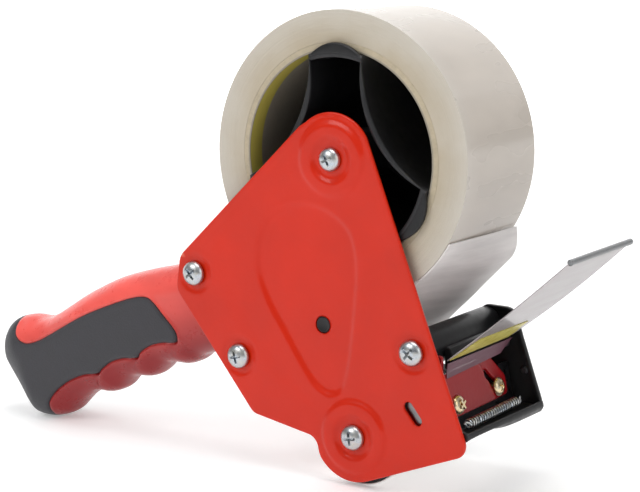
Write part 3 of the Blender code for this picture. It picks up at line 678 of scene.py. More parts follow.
def lathe(axis, profile, segments=72, ring=False, shape=None):
    """Turned skin about the w direction; `profile` is (radius, w) points.

    `shape` may change the radius: it gets (angle, radius, w).
    """
    loops = []
    for radius, w in profile:
        loop = []
        for k in range(segments):
            angle = 2.0 * math.pi * k / segments
            r = shape(angle, radius, w) if shape else radius
            loop.append((*polar(axis, r, angle), w))
        loops.append(loop)
    return loft(loops, ring)


def soft_corner(corner, before, after, radius, steps=4):
    """Fillet points at a profile's corner between its two neighbours."""
    corner, before, after = Vector(corner), Vector(before), Vector(after)
    start = corner + (before - corner).normalized() * radius
    end = corner + (after - corner).normalized() * radius
    made = []
    for k in range(steps + 1):
        t = k / steps
        made.append(tuple(start * (1 - t) ** 2 + corner * 2 * t * (1 - t) + end * t * t))
    return made


def soft_profile(points, radius, closed=True, steps=3):
    """Closed or open profile with every inner corner rounded."""
    made = []
    count = len(points)
    for k, point in enumerate(points):
        if not closed and k in (0, count - 1):
            made.append(point)
            continue
        made += soft_corner(point, points[k - 1], points[(k + 1) % count], radius, steps)
    return made


def tube(points, radius, sides=10):
    """Round wire along a line of (x, y, z) points."""
    line = [Vector(p) for p in points]
    loops = []
    side = None
    for k, point in enumerate(line):
        ahead = line[min(k + 1, len(line) - 1)] - line[max(k - 1, 0)]
        ahead.normalize()
        if side is None:
            side = ahead.orthogonal().normalized()
        side = (side - ahead * side.dot(ahead)).normalized()
        other = ahead.cross(side)
        loops.append([point + (side * math.cos(2 * math.pi * n / sides)
                               + other * math.sin(2 * math.pi * n / sides)) * radius
                      for n in range(sides)])
    return loft(loops)


# ---- making pieces -----------------------------------------------------------
WELD = 0.002 * MM                 # points closer than this become one
SHARP = 38.0                      # degrees from which an edge is drawn sharp


def new_object(name, data):
    made = bpy.data.objects.new(name, data)
    bpy.context.scene.collection.objects.link(made)
    return made


def object_of(name, skin, matrix):
    """Object from a skin in millimetres."""
    verts, faces = skin
    shell = bmesh.new()
    made = [shell.verts.new(matrix @ Vector(v)) for v in verts]
    for face in faces:
        shell.faces.new([made[k] for k in face])
    bmesh.ops.remove_doubles(shell, verts=shell.verts, dist=WELD)
    bmesh.ops.recalc_face_normals(shell, faces=shell.faces)
    mesh = bpy.data.meshes.new(name)
    shell.to_mesh(mesh)
    shell.free()
    return new_object(name, mesh)


def piece(name, skin, finish, body, nodes=(), matrix=SIDE, sharp=SHARP, materials=None):
    """Object in its finish, riding on its body in place of the CAD nodes."""
    obj = object_of(name, skin, matrix)
    for material in materials or [FINISH[finish]]:
        obj.data.materials.append(material)
    settle(obj, sharp)
    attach(obj, body)
    if nodes:
        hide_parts(*nodes)
    return obj


def settle(obj, sharp):
    obj.data.shade_smooth()
    obj.data.set_sharp_from_angle(angle=math.radians(sharp))


def combine(obj, other, operation="UNION"):
    """Boolean `other` into obj and remove it."""
    modifier = obj.modifiers.new("Combine", "BOOLEAN")
    modifier.operation = operation
    modifier.object = other
    modifier.solver = "EXACT"
    bpy.context.view_layer.update()
    graph = bpy.context.evaluated_depsgraph_get()
    mesh = bpy.data.meshes.new_from_object(obj.evaluated_get(graph))
    obj.modifiers.clear()
    obj.data = mesh
    bpy.data.objects.remove(other)
    settle(obj, SHARP)
    return obj


def paint_faces(obj, index, chosen):
    """Give the faces that `chosen` picks, by centre and normal, a material."""
    for polygon in obj.data.polygons:
        if chosen(to_local(polygon.center), polygon.normal):
            polygon.material_index = index


def smoothstep(low, high, value):
    share = np.clip((value - low) / (high - low), 0.0, 1.0)
    return share * share * (3.0 - 2.0 * share)


# ---- side plate --------------------------------------------------------------
LOBE_R = 16.6
SCREW_HOLE_R = 2.8
GUARD_SCREW_HOLE_R = 2.3
SPARE_HOLE_R = 3.15
SCREW_R = 2.4                     # M5 screws, and M4 for the guard's pin
GUARD_SCREW_R = 1.8
OUTER_EMBOSS_DEPTH = 0.30         # the plate's press, in from its outer face
TEARDROP_DEPTH = 0.95
PLATE_BOSS_R = (12.0, 14.2)       # a raised ring round the two end screws
PLATE_BOSS_RISE = 0.85
PLATE_DIMPLE_R = (6.6, 8.8)       # and a dimple inside it
PLATE_DIMPLE_DEPTH = 0.95
SCREW_DIMPLE_R = (6.4, 8.2)       # round the other three screws
SCREW_DIMPLE_DEPTH = 0.40
PLATE_BACK_LIMITS = (-0.5, 0.2)   # how far the back may follow the press
SPARE_HOLE = node_axis("spare_hole_plug")
FOOT_CENTRE = (9.2, -99.2)        # centre of the plate's round lower end
TEARDROP = [(-12.0, -17.0), (-22.6, -19.9), (-28.8, -25.5), (-31.9, -34.5), (-31.6, -43.9),
            (-27.5, -53.8), (-20.2, -64.6), (-13.6, -74.2), (-7.2, -82.0), (-1.0, -85.0),
            (4.0, -82.6), (6.6, -75.0), (8.2, -64.0), (9.6, -50.0), (10.2, -40.0),
            (9.4, -31.5), (6.2, -24.2), (-1.6, -18.9)]
OUTER_EMBOSS = [(-14.0, -9.0), (-34.0, -17.0), (-46.0, -28.0), (-49.6, -39.2), (-41.8, -59.5),
                (-29.2, -75.0), (-15.2, -87.5), (-4.5, -93.8), (9.0, -90.0), (20.0, -92.0),
                (24.2, -84.0), (25.3, -68.0), (25.3, -52.6), (24.5, -34.2), (19.0, -20.0),
                (6.0, -12.0)]


def plate_outline():
    """Round lobe at the reel, two straight sides and a round foot."""
    foot = arc(FOOT_CENTRE, LOBE_R + 0.2, 212.0, 292.0, 24)
    rear = [(-13.6, 10.9, 0.0), (-67.9, -41.0, 7.0), (-69.9, -54.0, 6.0),
            (-34.4, -97.0, 5.0), (-6.4, -101.9, 5.0), (*foot[0], 0.0)]
    front = [(28.4, -109.6, 0.0), (56.4, -98.3, 5.0), (14.2, 8.6, 0.0)]
    lobe = arc(HUB_AXIS, LOBE_R, 31.0, 131.0, 28)
    return lobe + rounded(rear)[:-1] + foot + rounded(front)[1:-1]


SLOT_CENTRE = (34.0, -87.0)
SLOT_SIZE = (9.4, 3.6)
SLOT_ANGLE = -51.0


def slot_outline(shrink=0.0):
    """Round-ended slot that the bracket's tab fills."""
    length = (SLOT_SIZE[0] - SLOT_SIZE[1]) / 2.0
    radius = SLOT_SIZE[1] / 2.0 - shrink
    turn = math.radians(SLOT_ANGLE)
    shift = Vector((math.cos(turn), math.sin(turn))) * length
    centre = Vector(SLOT_CENTRE)
    return (arc(centre + shift, radius, SLOT_ANGLE - 90, SLOT_ANGLE + 90, 12)
            + arc(centre - shift, radius, SLOT_ANGLE + 90, SLOT_ANGLE + 270, 12))


def depth_inside(points, corners):
    """Distance inside a smooth closed line: positive within, negative outside."""
    loop = smooth_line(corners, 4, True)
    away = distance_to(points, *segments_of(loop))
    return np.where(inside(points, [loop]), away, -away)


def plate_relief(points):
    """Pressed shape of the plate: minus is towards the outside."""
    relief = OUTER_EMBOSS_DEPTH * smoothstep(-4.0, 4.0, depth_inside(points, OUTER_EMBOSS))
    relief += TEARDROP_DEPTH * smoothstep(-1.4, 1.4, depth_inside(points, TEARDROP))
    for axis in (HUB_AXIS, ROLLER_AXIS):
        away = away_from(points, axis)
        relief -= PLATE_BOSS_RISE * smoothstep(*PLATE_BOSS_R[::-1], away)
        relief += PLATE_DIMPLE_DEPTH * smoothstep(*PLATE_DIMPLE_R[::-1], away)
    for axis in (*HANDLE_SCREWS.values(), GUARD_AXIS):
        away = away_from(points, axis)
        relief += SCREW_DIMPLE_DEPTH * smoothstep(*SCREW_DIMPLE_R[::-1], away)
    return relief


def plate_back_relief(points):
    """The back follows the press only as far as the hub and guard leave room."""
    return np.clip(plate_relief(points), *PLATE_BACK_LIMITS)


def side_plate():
    screws = (HUB_AXIS, ROLLER_AXIS, *HANDLE_SCREWS.values())
    holes = [circle(axis, SCREW_HOLE_R, 32) for axis in screws]
    holes += [circle(GUARD_AXIS, GUARD_SCREW_HOLE_R, 32), circle(SPARE_HOLE, SPARE_HOLE_R, 36),
              slot_outline()]
    skin = sheet([plate_outline(), *holes], 0.0, PLATE_THICK, 0.55, 1.0,
                 plate_relief, plate_back_relief)
    piece("side_plate_skin", skin, "red_paint", "frame", ["side_plate"])


# ---- screws and nuts ---------------------------------------------------------
def thread(axis, radius, pitch, start, end):
    """Screw thread as a true helix, with plain chamfered ends."""
    depth = pitch * 0.42
    steps = max(6, int((end - start) / (pitch / 6.0)))

    def crest(angle, r, w):
        turns = (w / pitch + angle / (2.0 * math.pi)) % 1.0
        fade = min(1.0, (w - start) / pitch, (end - w) / pitch)
        return r - depth * abs(turns * 2.0 - 1.0) * max(0.0, fade)

    profile = [(radius * 0.8, start)]
    profile += [(radius, start + (end - start) * k / steps) for k in range(1, steps)]
    profile += [(radius * 0.8, end)]
    return lathe(axis, profile, 28, shape=crest)


def cross_recess(axis, turn, top, size, matrix):
    """Cutter for a cross recess: two crossed wedges that narrow inwards."""
    made = None
    for quarter in (0.0, 90.0):
        angle = math.radians(turn + quarter)
        ahead = Vector((math.cos(angle), math.sin(angle)))
        side = Vector((-ahead.y, ahead.x))
        loops = []
        for depth, reach, half in ((-0.6, size, size * 0.21), (0.35, size * 0.94, size * 0.19),
                                   (size * 0.62, size * 0.35, size * 0.11)):
            corners = [ahead * reach + side * half, -ahead * reach + side * half,
                       -ahead * reach - side * half, ahead * reach - side * half]
            loops.append([(axis[0] + c.x, axis[1] + c.y, top + depth) for c in corners])
        wedge = object_of("wedge", loft(loops), matrix)
        made = combine(made, wedge) if made else wedge
    return made


def screw(node_name, axis, head_r, head, shank_r, end, turn, matrix=SIDE, finish="zinc"):
    """Pan-head cross-recess screw; `head` is (top, underside) along w."""
    top, seat = head
    rise = seat - top
    profile = [(0.0, top), (head_r * 0.35, top + 0.03 * rise), (head_r * 0.62, top + 0.14 * rise),
               (head_r * 0.82, top + 0.32 * rise), (head_r * 0.95, top + 0.56 * rise),
               (head_r, top + 0.78 * rise), (head_r, seat - 0.12), (head_r - 0.12, seat),
               (shank_r, seat), (shank_r, seat + 1.6), (0.0, seat + 1.6)]
    obj = piece(node_name.replace("screw", "cross_screw"), lathe(axis, profile, 56), finish,
                "frame", [node_name], matrix)
    combine(obj, object_of("thread", thread(axis, shank_r, 0.8, seat + 1.2, end), matrix))
    combine(obj, cross_recess(axis, turn, top, head_r * 0.56, matrix), "DIFFERENCE")


def plate_screws():
    """The five screws, each stopped at its own turn."""
    turns = {"hub_axle_screw": 24.0, "roller_axle_screw": 8.0, "guard_rod_screw": 52.0,
             "handle_screw_upper": 38.0, "handle_screw_lower": 14.0}
    for name, turn in turns.items():
        top, end = node_span(name)
        shank = GUARD_SCREW_R if name == "guard_rod_screw" else SCREW_R
        screw(name, node_axis(name), radius_of(name), (top, -GAP), shank, end, turn)


def nut_skin(axis, flats, start, end, bore):
    """Hexagon nut with chamfered corners and a countersunk bore."""
    corner = flats / math.sqrt(3.0)

    def hexagon(angle, radius, w):
        if radius <= bore + 0.5:
            return radius
        sector = (angle % (math.pi / 3.0)) - math.pi / 6.0
        flat = flats / 2.0 / math.cos(sector)
        return min(flat, radius)

    profile = [(bore + 0.45, start), (flats / 2.0 * 0.97, start), (corner + 0.01, start + 0.7),
               (corner + 0.01, end - 0.7), (flats / 2.0 * 0.97, end), (bore + 0.45, end),
               (bore, end - 0.45), (bore, start + 0.45)]
    return lathe(axis, profile, 72, ring=True, shape=hexagon)


def handle_nuts():
    for name, axis in HANDLE_SCREWS.items():
        start, end = node_span(f"handle_nut_{name}")
        piece(f"handle_hex_nut_{name}", nut_skin(axis, 8.0, start, end, 2.7), "zinc",
              "frame", [f"handle_nut_{name}"])


# ---- handle ------------------------------------------------------------------
HANDLE_TOP = [(-50, -41.2), (-57.0, -40.4), (-62.0, -41.2), (-66.0, -44.4),
              (-80.8, -48.1), (-95.5, -51.9), (-106.8, -55.6),
              (-118.4, -61.1), (-126.3, -65.5), (-135.9, -71.5), (-143.2, -75.5),
              (-149.0, -76.9), (-155.0, -76.8), (-161.0, -77.9)]
HANDLE_BUTT = [(-165.6, -80.6), (-168.6, -85.2), (-169.8, -90.4), (-168.8, -96.4),
               (-165.0, -101.9), (-160.0, -108.0), (-155.5, -113.4), (-150.8, -117.0),
               (-145.6, -117.7)]
HANDLE_FINGERS = [(-140.4, -117.2), (-134.8, -115.0), (-130.4, -110.8), (-125.8, -106.8),
                  (-119.4, -103.4), (-111.9, -102.9), (-107.0, -100.8), (-103.8, -97.4),
                  (-99.6, -94.6), (-91.9, -93.7), (-88.0, -91.8), (-84.4, -88.4),
                  (-81.0, -86.3), (-73.0, -86.0), (-68.4, -84.2), (-64.6, -81.2),
                  (-58.0, -79.4), (-50, -79.2), (-40, -82.5), (-33.5, -78.0)]
GRIP_BORDER = [(-157.6, -73.0), (-159.6, -77.6), (-159.6, -81.6), (-156.8, -85.0),
               (-151.0, -86.4), (-144.6, -84.7), (-137.5, -81.0), (-130.0, -76.7),
               (-121.0, -71.8), (-112.0, -67.7), (-102.1, -63.7), (-93.5, -60.7),
               (-87.6, -59.7), (-83.6, -61.0), (-78.6, -65.6), (-73.4, -70.4),
               (-71.8, -73.6), (-73.4, -76.0), (-78.5, -76.6), (-84.5, -78.4),
               (-89.4, -81.4), (-92.6, -84.6), (-98.6, -85.5), (-105.0, -87.8),
               (-109.4, -91.0), (-112.6, -93.6), (-119.6, -95.2), (-127.2, -98.6),
               (-133.4, -103.0), (-137.8, -107.6), (-139.8, -112.0), (-141.0, -120.5)]
FINGER_CREASES = [((-92.6, -84.6), (-99.8, -95.2)), ((-112.6, -93.6), (-119.6, -104.2)),
                  ((-72.6, -75.8), (-81.2, -86.4))]
POMMEL = (-149.6, -78.9)
HANDLE_ROUNDING = 11.5            # wider at the butt, by BUTT_ROUNDING
BUTT_ROUNDING = 8.0
SCREW_BOSS_R = (5.8, 7.8)         # full-depth boss round each handle screw
EDGE_HALF = 0.35                  # half of the thickness left at the parting line's edge
GROOVE_DEPTH, GROOVE_HALF = 0.8, 0.5           # round the soft grip
MOULDING_STEP = 0.45              # how much lower the moulding is than the grip
CREASE_DEPTH, CREASE_HALF = 1.1, 1.5           # between the fingers
LIP_RISE, LIP_FROM_BORDER, LIP_HALF = 0.30, 1.5, 0.6
POMMEL_RISE, POMMEL_R = 0.5, (2.0, 7.0)
HANDLE_NEAR_Y = node_span("handle_shell_near")[0]
HANDLE_MID_Y = (HANDLE_NEAR_Y + node_span("handle_shell_far")[1]) / 2.0


def handle_depth(flat, loop, border):
    """How far the handle's face stands out from its parting plane."""
    half = HANDLE_MID_Y - HANDLE_NEAR_Y
    distance = distance_to(flat, *segments_of(loop))
    rounding = HANDLE_ROUNDING + BUTT_ROUNDING * smoothstep(-144.0, -162.0, flat[:, 0])
    rise = np.clip(distance / rounding, 0.0, 1.0)
    depth = EDGE_HALF + (half - EDGE_HALF) * (1.0 - (1.0 - rise) ** 2.3) ** (1.0 / 2.1)
    line = distance_to(flat, *segments_of(border, False))
    gripped = inside(flat, [grip_region(border)])
    ends = smoothstep(0.0, 3.0, distance)
    depth = depth - GROOVE_DEPTH * ends * np.exp(-((line / GROOVE_HALF) ** 2))
    depth = depth - MOULDING_STEP * ends * smoothstep(0.4, 1.8, line) * ~gripped
    for crease in FINGER_CREASES:
        near = distance_to(flat, *segments_of(crease, False))
        depth = depth - CREASE_DEPTH * ends * np.exp(-((near / CREASE_HALF) ** 2)) * ~gripped
    below = ~gripped & (flat[:, 1] < -74.0 - (flat[:, 0] + 72.0) * -0.45)
    lip = np.exp(-(((line - LIP_FROM_BORDER) / LIP_HALF) ** 2))
    depth = depth + LIP_RISE * lip * below * ends
    swell = smoothstep(*POMMEL_R[::-1], away_from(flat, POMMEL))
    depth = depth + POMMEL_RISE * ends * swell * ~gripped
    for axis in HANDLE_SCREWS.values():
        depth = depth + (half - depth) * smoothstep(*SCREW_BOSS_R[::-1], away_from(flat, axis))
    return np.minimum(depth, half)


def grip_region(border):
    """Polygon that holds the soft grip: within the border and round the butt."""
    return list(border) + [(-141.0, -140.0), (-200.0, -140.0), (-200.0, -70.0)]


def handle():
    """Two halves, each a moulding with a soft grip over its middle and butt."""
    outline = smooth_line(HANDLE_TOP + HANDLE_BUTT + HANDLE_FINGERS, 4)
    outline += [(-31.5, -74.0), (-37.0, -62.0)]
    loop = evenly(outline, 0.9)
    inner = np.array(evenly(smooth_line(GRIP_BORDER, 5), 0.6, False))
    border = [tuple(p) for p in inner[inside(inner, [loop])
                                      & (distance_to(inner, *segments_of(loop)) > 0.35)]]
    ends = [nearest_on(loop, border[0]), nearest_on(loop, border[-1])]
    line = [ends[0], *border, ends[1]]
    rings = (0.06, 0.22, 0.5, 0.9, 1.5, 2.3, 3.3, 4.6, 6.2, 8.2)
    groove = [[tuple(p) for p in side] for side in beside(border, (0.35, 0.8, 1.4))]
    flat, triangles = fill([loop], 1.1, rings, [line, *groove])
    depth = handle_depth(flat, loop, border)
    middle = flat[triangles].mean(axis=1)
    soft = inside(middle, [grip_region(line)])
    parting = 0.08
    for side, sign in (("near", -1.0), ("far", 1.0)):
        top = HANDLE_MID_Y + sign * depth
        bottom = np.full(len(flat), HANDLE_MID_Y + sign * parting)
        shell = between(flat, triangles[~soft], top, bottom)
        piece(f"handle_moulding_{side}", shell, "red_plastic", "frame",
              [f"handle_shell_{side}"], sharp=50.0)
        grip = between(flat, triangles[soft], top, bottom)
        nodes = [f"grip_pad_{side}"] + (["handle_butt_cap"] if side == "near" else [])
        piece(f"soft_grip_{side}", grip, "grey_rubber", "frame", nodes, sharp=50.0)


def nearest_on(loop, point):
    best = min(loop, key=lambda p: (p[0] - point[0]) ** 2 + (p[1] - point[1]) ** 2)
    return tuple(best)


def beside(line, distances):
    """Lines that run along another at set distances, on both sides."""
    points = np.array(line)
    side = square_to(np.gradient(points, axis=0))
    made = []
    for distance in distances:
        for sign in (-1.0, 1.0):
            moved = points + side * distance * sign
            kept = distance_to(moved, *segments_of(line, False)) > distance * 0.96
            made.append([p for p, good in zip(moved[3:-3], kept[3:-3]) if good])
    return made


# ---- turned pieces -----------------------------------------------------------
def fine_ring(node_name, new_name, inner_r, finish, body, soft=0.35, segments=72):
    """Ring with rounded edges in the place of a CAD ring."""
    near, far = node_span(node_name)
    outer = radius_of(node_name)
    corners = [(inner_r, near), (outer, near), (outer, far), (inner_r, far)]
    skin = lathe(node_axis(node_name), soft_profile(corners, soft), segments, ring=True)
    piece(new_name, skin, finish, body, [node_name])


def axle(node_name, new_name, radius, flange, bore, groove_y=None):
    """Flanged axle with a tapped bore at the plate and a clip groove at the end."""
    start, end = node_span(node_name)
    flange_r, flange_thick = flange
    bore_r, bore_depth = bore
    profile = [(0.0, start + bore_depth), (bore_r, start + bore_depth - 1.0), (bore_r, start + 0.4),
               (bore_r + 0.4, start), (flange_r - 0.3, start), (flange_r, start + 0.3),
               (flange_r, start + flange_thick - 0.3), (flange_r - 0.3, start + flange_thick),
               (radius + 0.3, start + flange_thick), (radius, start + flange_thick + 0.3)]
    if groove_y:
        deep = radius - 0.5
        profile += [(radius, groove_y - 0.6), (deep, groove_y - 0.6), (deep, groove_y + 0.6),
                    (radius, groove_y + 0.6)]
    profile += [(radius, end - 0.7), (radius - 0.7, end), (0.0, end)]
    piece(new_name, lathe(node_axis(node_name), profile, 56), "steel", "frame", [node_name])


def retaining_clip(node_name, new_name, inner_r):
    """E-shaped spring clip: a ring with three inward tabs and an open mouth."""
    axis, outer = node_axis(node_name), radius_of(node_name)
    inner_loop, outer_loop = [], []
    mouth = 32.0                  # degrees from the middle of the mouth to its side
    for k in range(73):
        angle = mouth + (360.0 - 2.0 * mouth) * k / 72.0
        turn = math.radians(angle - 90.0)
        tab = max(math.cos(math.radians(2.0 * angle)), 0.0) ** 2
        reach = inner_r + (outer - inner_r) * 0.45 * (1.0 - tab)
        inner_loop.append(polar(axis, reach, turn))
        outer_loop.append(polar(axis, outer, turn))
    skin = sheet([outer_loop + inner_loop[::-1]], *node_span(node_name), 0.12, 0.9, detail=0.5)
    piece(new_name, skin, "zinc", "frame", [node_name])


# ---- reel --------------------------------------------------------------------
HUB_TIP_R = 37.8
HUB_LIP_R = 41.0
HUB_WAIST_R = 20.0
HUB_TIP_HALF = 17.0                # degrees
HUB_NEAR_Y, HUB_FAR_Y = 2.3, 50.0
HUB_WALL = 2.2
HUB_WEB_Y = (38.0, 40.0)
HUB_RIB_START_Y = 26.0
HUB_BOSS_R = (8.0, 9.2)
HUB_ARMS = (90.0, 210.0, 330.0)


def hub_outline(inset=0.0):
    """Star with three round-tipped arms and hollow sides, one arm straight up."""
    tip_r, waist_r = HUB_TIP_R - inset, HUB_WAIST_R - inset
    half_gap = math.radians(60.0 - HUB_TIP_HALF)
    end_along, end_across = tip_r * math.cos(half_gap), tip_r * math.sin(half_gap)
    reach = (end_along ** 2 + end_across ** 2 - waist_r ** 2) / (2.0 * (end_along - waist_r))
    spread = math.degrees(math.atan2(end_across, reach - end_along))
    points = []
    for arm in HUB_ARMS:
        points += arc(HUB_AXIS, tip_r, arm - HUB_TIP_HALF, arm + HUB_TIP_HALF, 12)
        centre = polar(HUB_AXIS, reach, math.radians(arm + 60.0))
        facing = arm + 240.0
        points += arc(centre, reach - waist_r, facing + spread, facing - spread, 22)[1:-1]
    return points


def hub_star():
    """Wall of the star, its near rim rounded over and slightly beaded."""
    rim = [(0.0, HUB_FAR_Y), (0.0, HUB_NEAR_Y + 2.2), (-0.25, HUB_NEAR_Y + 1.2),
           (-0.1, HUB_NEAR_Y + 0.4), (0.5, HUB_NEAR_Y), (HUB_WALL - 0.5, HUB_NEAR_Y),
           (HUB_WALL + 0.05, HUB_NEAR_Y + 0.4), (HUB_WALL + 0.2, HUB_NEAR_Y + 1.2),
           (HUB_WALL, HUB_NEAR_Y + 2.2), (HUB_WALL, HUB_FAR_Y)]
    loops = []
    for inset, y in rim:
        loops.append([(x, z, y) for x, z in hub_outline(inset)])
    return loft(loops, True)


def hub():
    """Star with a web, a boss, a domed lip on each arm and a rib behind it."""
    piece("reel_hub_star", hub_star(), "black_plastic", "reel", ["hub"])
    web = sheet([hub_outline(HUB_WALL * 0.6), circle(HUB_AXIS, 8.4, 40)], *HUB_WEB_Y, 0.1, 3.0)
    boss_in, boss_out = HUB_BOSS_R
    boss = [(boss_in, 3.5), (boss_out, 3.5), (boss_out, 36.5), (boss_out + 1.5, 39.2),
            (boss_out, 40.2), (boss_in, 40.2)]
    piece("reel_hub_web", web, "black_plastic", "reel")
    piece("reel_hub_boss", lathe(HUB_AXIS, soft_profile(boss, 0.4), 64, True), "black_plastic",
          "reel")
    for index, arm in enumerate(HUB_ARMS):
        lip = []
        for k in range(15):
            off = HUB_TIP_HALF * (k / 7.0 - 1.0)
            swell = math.cos(math.radians(90.0 * off / HUB_TIP_HALF))
            reach = HUB_TIP_R - 0.3 + (HUB_LIP_R - HUB_TIP_R) * swell
            lip.append(polar(HUB_AXIS, reach, math.radians(arm + off)))
        lip += arc(HUB_AXIS, HUB_TIP_R - 1.1, arm + HUB_TIP_HALF, arm - HUB_TIP_HALF, 14)
        skin = sheet([lip], HUB_NEAR_Y - 0.1, TAPE_NEAR_Y - GAP, 0.6, 1.2)
        piece(f"reel_hub_lip_{index + 1}", skin, "black_plastic", "reel")
        ahead = Vector(polar(HUB_AXIS, 1.0, math.radians(arm)))
        across = Vector((-ahead.y, ahead.x)) * 0.7
        rib = [ahead * (boss_out - 0.4) - across, ahead * (HUB_TIP_R - HUB_WALL + 0.4) - across,
               ahead * (HUB_TIP_R - HUB_WALL + 0.4) + across, ahead * (boss_out - 0.4) + across]
        skin = sheet([[tuple(p) for p in rib]], HUB_RIB_START_Y, HUB_WEB_Y[0] + 0.5, 0.2, 2.0)
        piece(f"reel_hub_rib_{index + 1}", skin, "black_plastic", "reel")


def hub_end_disc():
    near, far = node_span("hub_end_disc")
    outer, inner = radius_of("hub_end_disc"), 13.6
    profile = [(inner, near), (outer, near), (outer, far), (34.5, far), (33.5, far - 0.7),
               (18.5, far - 0.7), (17.5, far), (inner, far)]
    piece("reel_end_cover", lathe(HUB_AXIS, soft_profile(profile, 0.3), 112, True),
          "black_plastic", "reel", ["hub_end_disc"])


def wound_tape():
    """Core and roll; the roll's sides keep the small steps of its layers."""
    corners = [(CORE_BORE_R, TAPE_NEAR_Y), (CORE_OUTER_R, TAPE_NEAR_Y),
               (CORE_OUTER_R, TAPE_FAR_Y), (CORE_BORE_R, TAPE_FAR_Y)]
    ring = lathe(HUB_AXIS, soft_profile(corners, 0.15), 128, True)
    piece("paperboard_core", ring, "card", "reel", ["tape_core"])
    dice = random.Random(11)
    inner = CORE_OUTER_R + 0.05
    count = 26
    near = []
    for k in range(count + 1):
        radius = inner + (ROLL_R - inner) * k / count
        near.append((radius, TAPE_NEAR_Y + dice.uniform(0.0, 0.10)))
    far = [(point[0], TAPE_FAR_Y - dice.uniform(0.0, 0.10)) for point in near[::-1]]
    face = [(ROLL_R, TAPE_NEAR_Y + (TAPE_FAR_Y - TAPE_NEAR_Y) * k / 12) for k in range(1, 12)]
    skin = lathe(HUB_AXIS, near + face + far, 144, True)
    roll = piece("wound_tape_roll", skin, "tape", "reel", ["tape_roll"],
                 materials=[FINISH["tape"], TAPE_SIDE])
    paint_faces(roll, 1, lambda centre, normal: abs(normal.y) > 0.6)


# ---- free tape ---------------------------------------------------------------
WEB_THICK = 0.4
WEB_INSET = 0.3                   # the free tape is this much narrower at each side
WEB_ROWS = 40                     # rows across the tape
PEEL_ROWS = 56                    # rows from the roll to the press roller
CLING_ARC = (-30.5, -52.0)        # degrees on the roll where the near side still clings
CLING_WIDTH = 0.75                # share of the tape's width that the clinging fades over


def web_path():
    """Off the roll, down to the press roller, round it and up to the blade."""
    peel = [(45.4, -27.0), (45.8, -31.0), (45.4, -35.0), (43.8, -38.4)]
    cut_end = (44.4, -97.4)
    wrap_r = ROLLER_R + GAP + WEB_THICK / 2.0

    def tangent(point, side):
        spoke = Vector(point) - Vector(ROLLER_AXIS)
        towards = math.degrees(math.atan2(spoke.y, spoke.x))
        return towards + side * math.degrees(math.acos(wrap_r / spoke.length))

    start, end = tangent(peel[-1], 1), tangent(cut_end, -1)
    wrap = arc(ROLLER_AXIS, wrap_r, start, end + 360.0, 60)
    return evenly(smooth_line(peel, 4), 1.2, False), wrap, cut_end


def spread_along(points, count):
    """The same line as `count` evenly spaced points."""
    line = np.array(points, float)
    reach = np.concatenate([[0.0], np.cumsum(np.linalg.norm(np.diff(line, axis=0), axis=1))])
    wanted = np.linspace(0.0, reach[-1], count)
    return np.stack([np.interp(wanted, reach, line[:, k]) for k in (0, 1)], axis=1)


def free_tape():
    """The near side clings to the roll further round than the far side does."""
    peel, wrap, cut_end = web_path()
    far_line = spread_along([*peel, wrap[0]], PEEL_ROWS)
    cling = arc(HUB_AXIS, ROLL_R + 0.35, *CLING_ARC, 12)
    near_line = spread_along([*cling, wrap[0]], PEEL_ROWS)
    tail = np.array([*wrap[1:], *evenly([wrap[-1], cut_end], 1.4, False)[1:]])
    count = np.arange(PEEL_ROWS)
    free = np.clip((count - 14) / 8.0, 0, 1) * np.clip((PEEL_ROWS - 3 - count) / 8.0, 0, 1)
    low_y, high_y = TAPE_NEAR_Y + WEB_INSET, TAPE_FAR_Y - WEB_INSET
    loops = []
    for k in range(WEB_ROWS + 1):
        y = low_y + (high_y - low_y) * k / WEB_ROWS
        cling_share = 1.0 - smoothstep(0.0, CLING_WIDTH, k / WEB_ROWS)
        line = far_line + (near_line - far_line) * cling_share
        path = np.concatenate([line, tail])
        normal = square_to(np.gradient(path, axis=0))
        wave = 0.16 * np.sin(count * 0.34 + 0.11 * y) + 0.10 * np.sin(count * 0.2 - 0.23 * y)
        shift = np.concatenate([free * wave, np.zeros(len(tail))])
        front_side = path + normal * (WEB_THICK / 2.0 + shift)[:, None]
        back_side = path + normal * (-WEB_THICK / 2.0 + shift)[:, None]
        loops.append([(x, z, y) for x, z in [*front_side.tolist(), *back_side.tolist()[::-1]]])
    piece("free_tape", loft(loops), "web_film", "frame", ["tape_web"], sharp=60.0)


# ---- press roller ------------------------------------------------------------
SLEEVE_BORE_R = 12.3
SLEEVE_PARTS = 9                  # one groove less
GROOVE_SINK = 0.45


def press_roller():
    near, far = node_span("roller_sleeve")
    profile = [(SLEEVE_BORE_R, near + 0.4), (ROLLER_R - 1.0, near + 0.4), (ROLLER_R - 0.5, near),
               (ROLLER_R, near + 0.8)]
    for k in range(1, SLEEVE_PARTS):
        y = near + (far - near) * k / SLEEVE_PARTS
        profile += [(ROLLER_R, y - 0.5), (ROLLER_R - GROOVE_SINK, y), (ROLLER_R, y + 0.5)]
    profile += [(ROLLER_R, far - 0.8), (ROLLER_R - 0.5, far), (ROLLER_R - 1.0, far - 0.4),
                (SLEEVE_BORE_R, far - 0.4)]
    piece("roller_rubber_sleeve", lathe(ROLLER_AXIS, profile, 96, True), "black_rubber",
          "press_roller", ["roller_sleeve"])
    core = [(6.8, near), (8.6, near), (8.6, near + 1.2), (10.4, near + 1.2), (10.4, near),
            (12.0, near), (12.0, far), (10.4, far), (10.4, far - 1.2), (8.6, far - 1.2),
            (8.6, far), (6.8, far)]
    piece("roller_hub", lathe(ROLLER_AXIS, soft_profile(core, 0.25), 72, True), "black_plastic",
          "press_roller", ["roller_core"])
    for side in ("near", "far"):
        fine_ring(f"roller_bush_{side}", f"roller_sleeve_bush_{side}", 4.62, "steel",
                  "press_roller", 0.3)


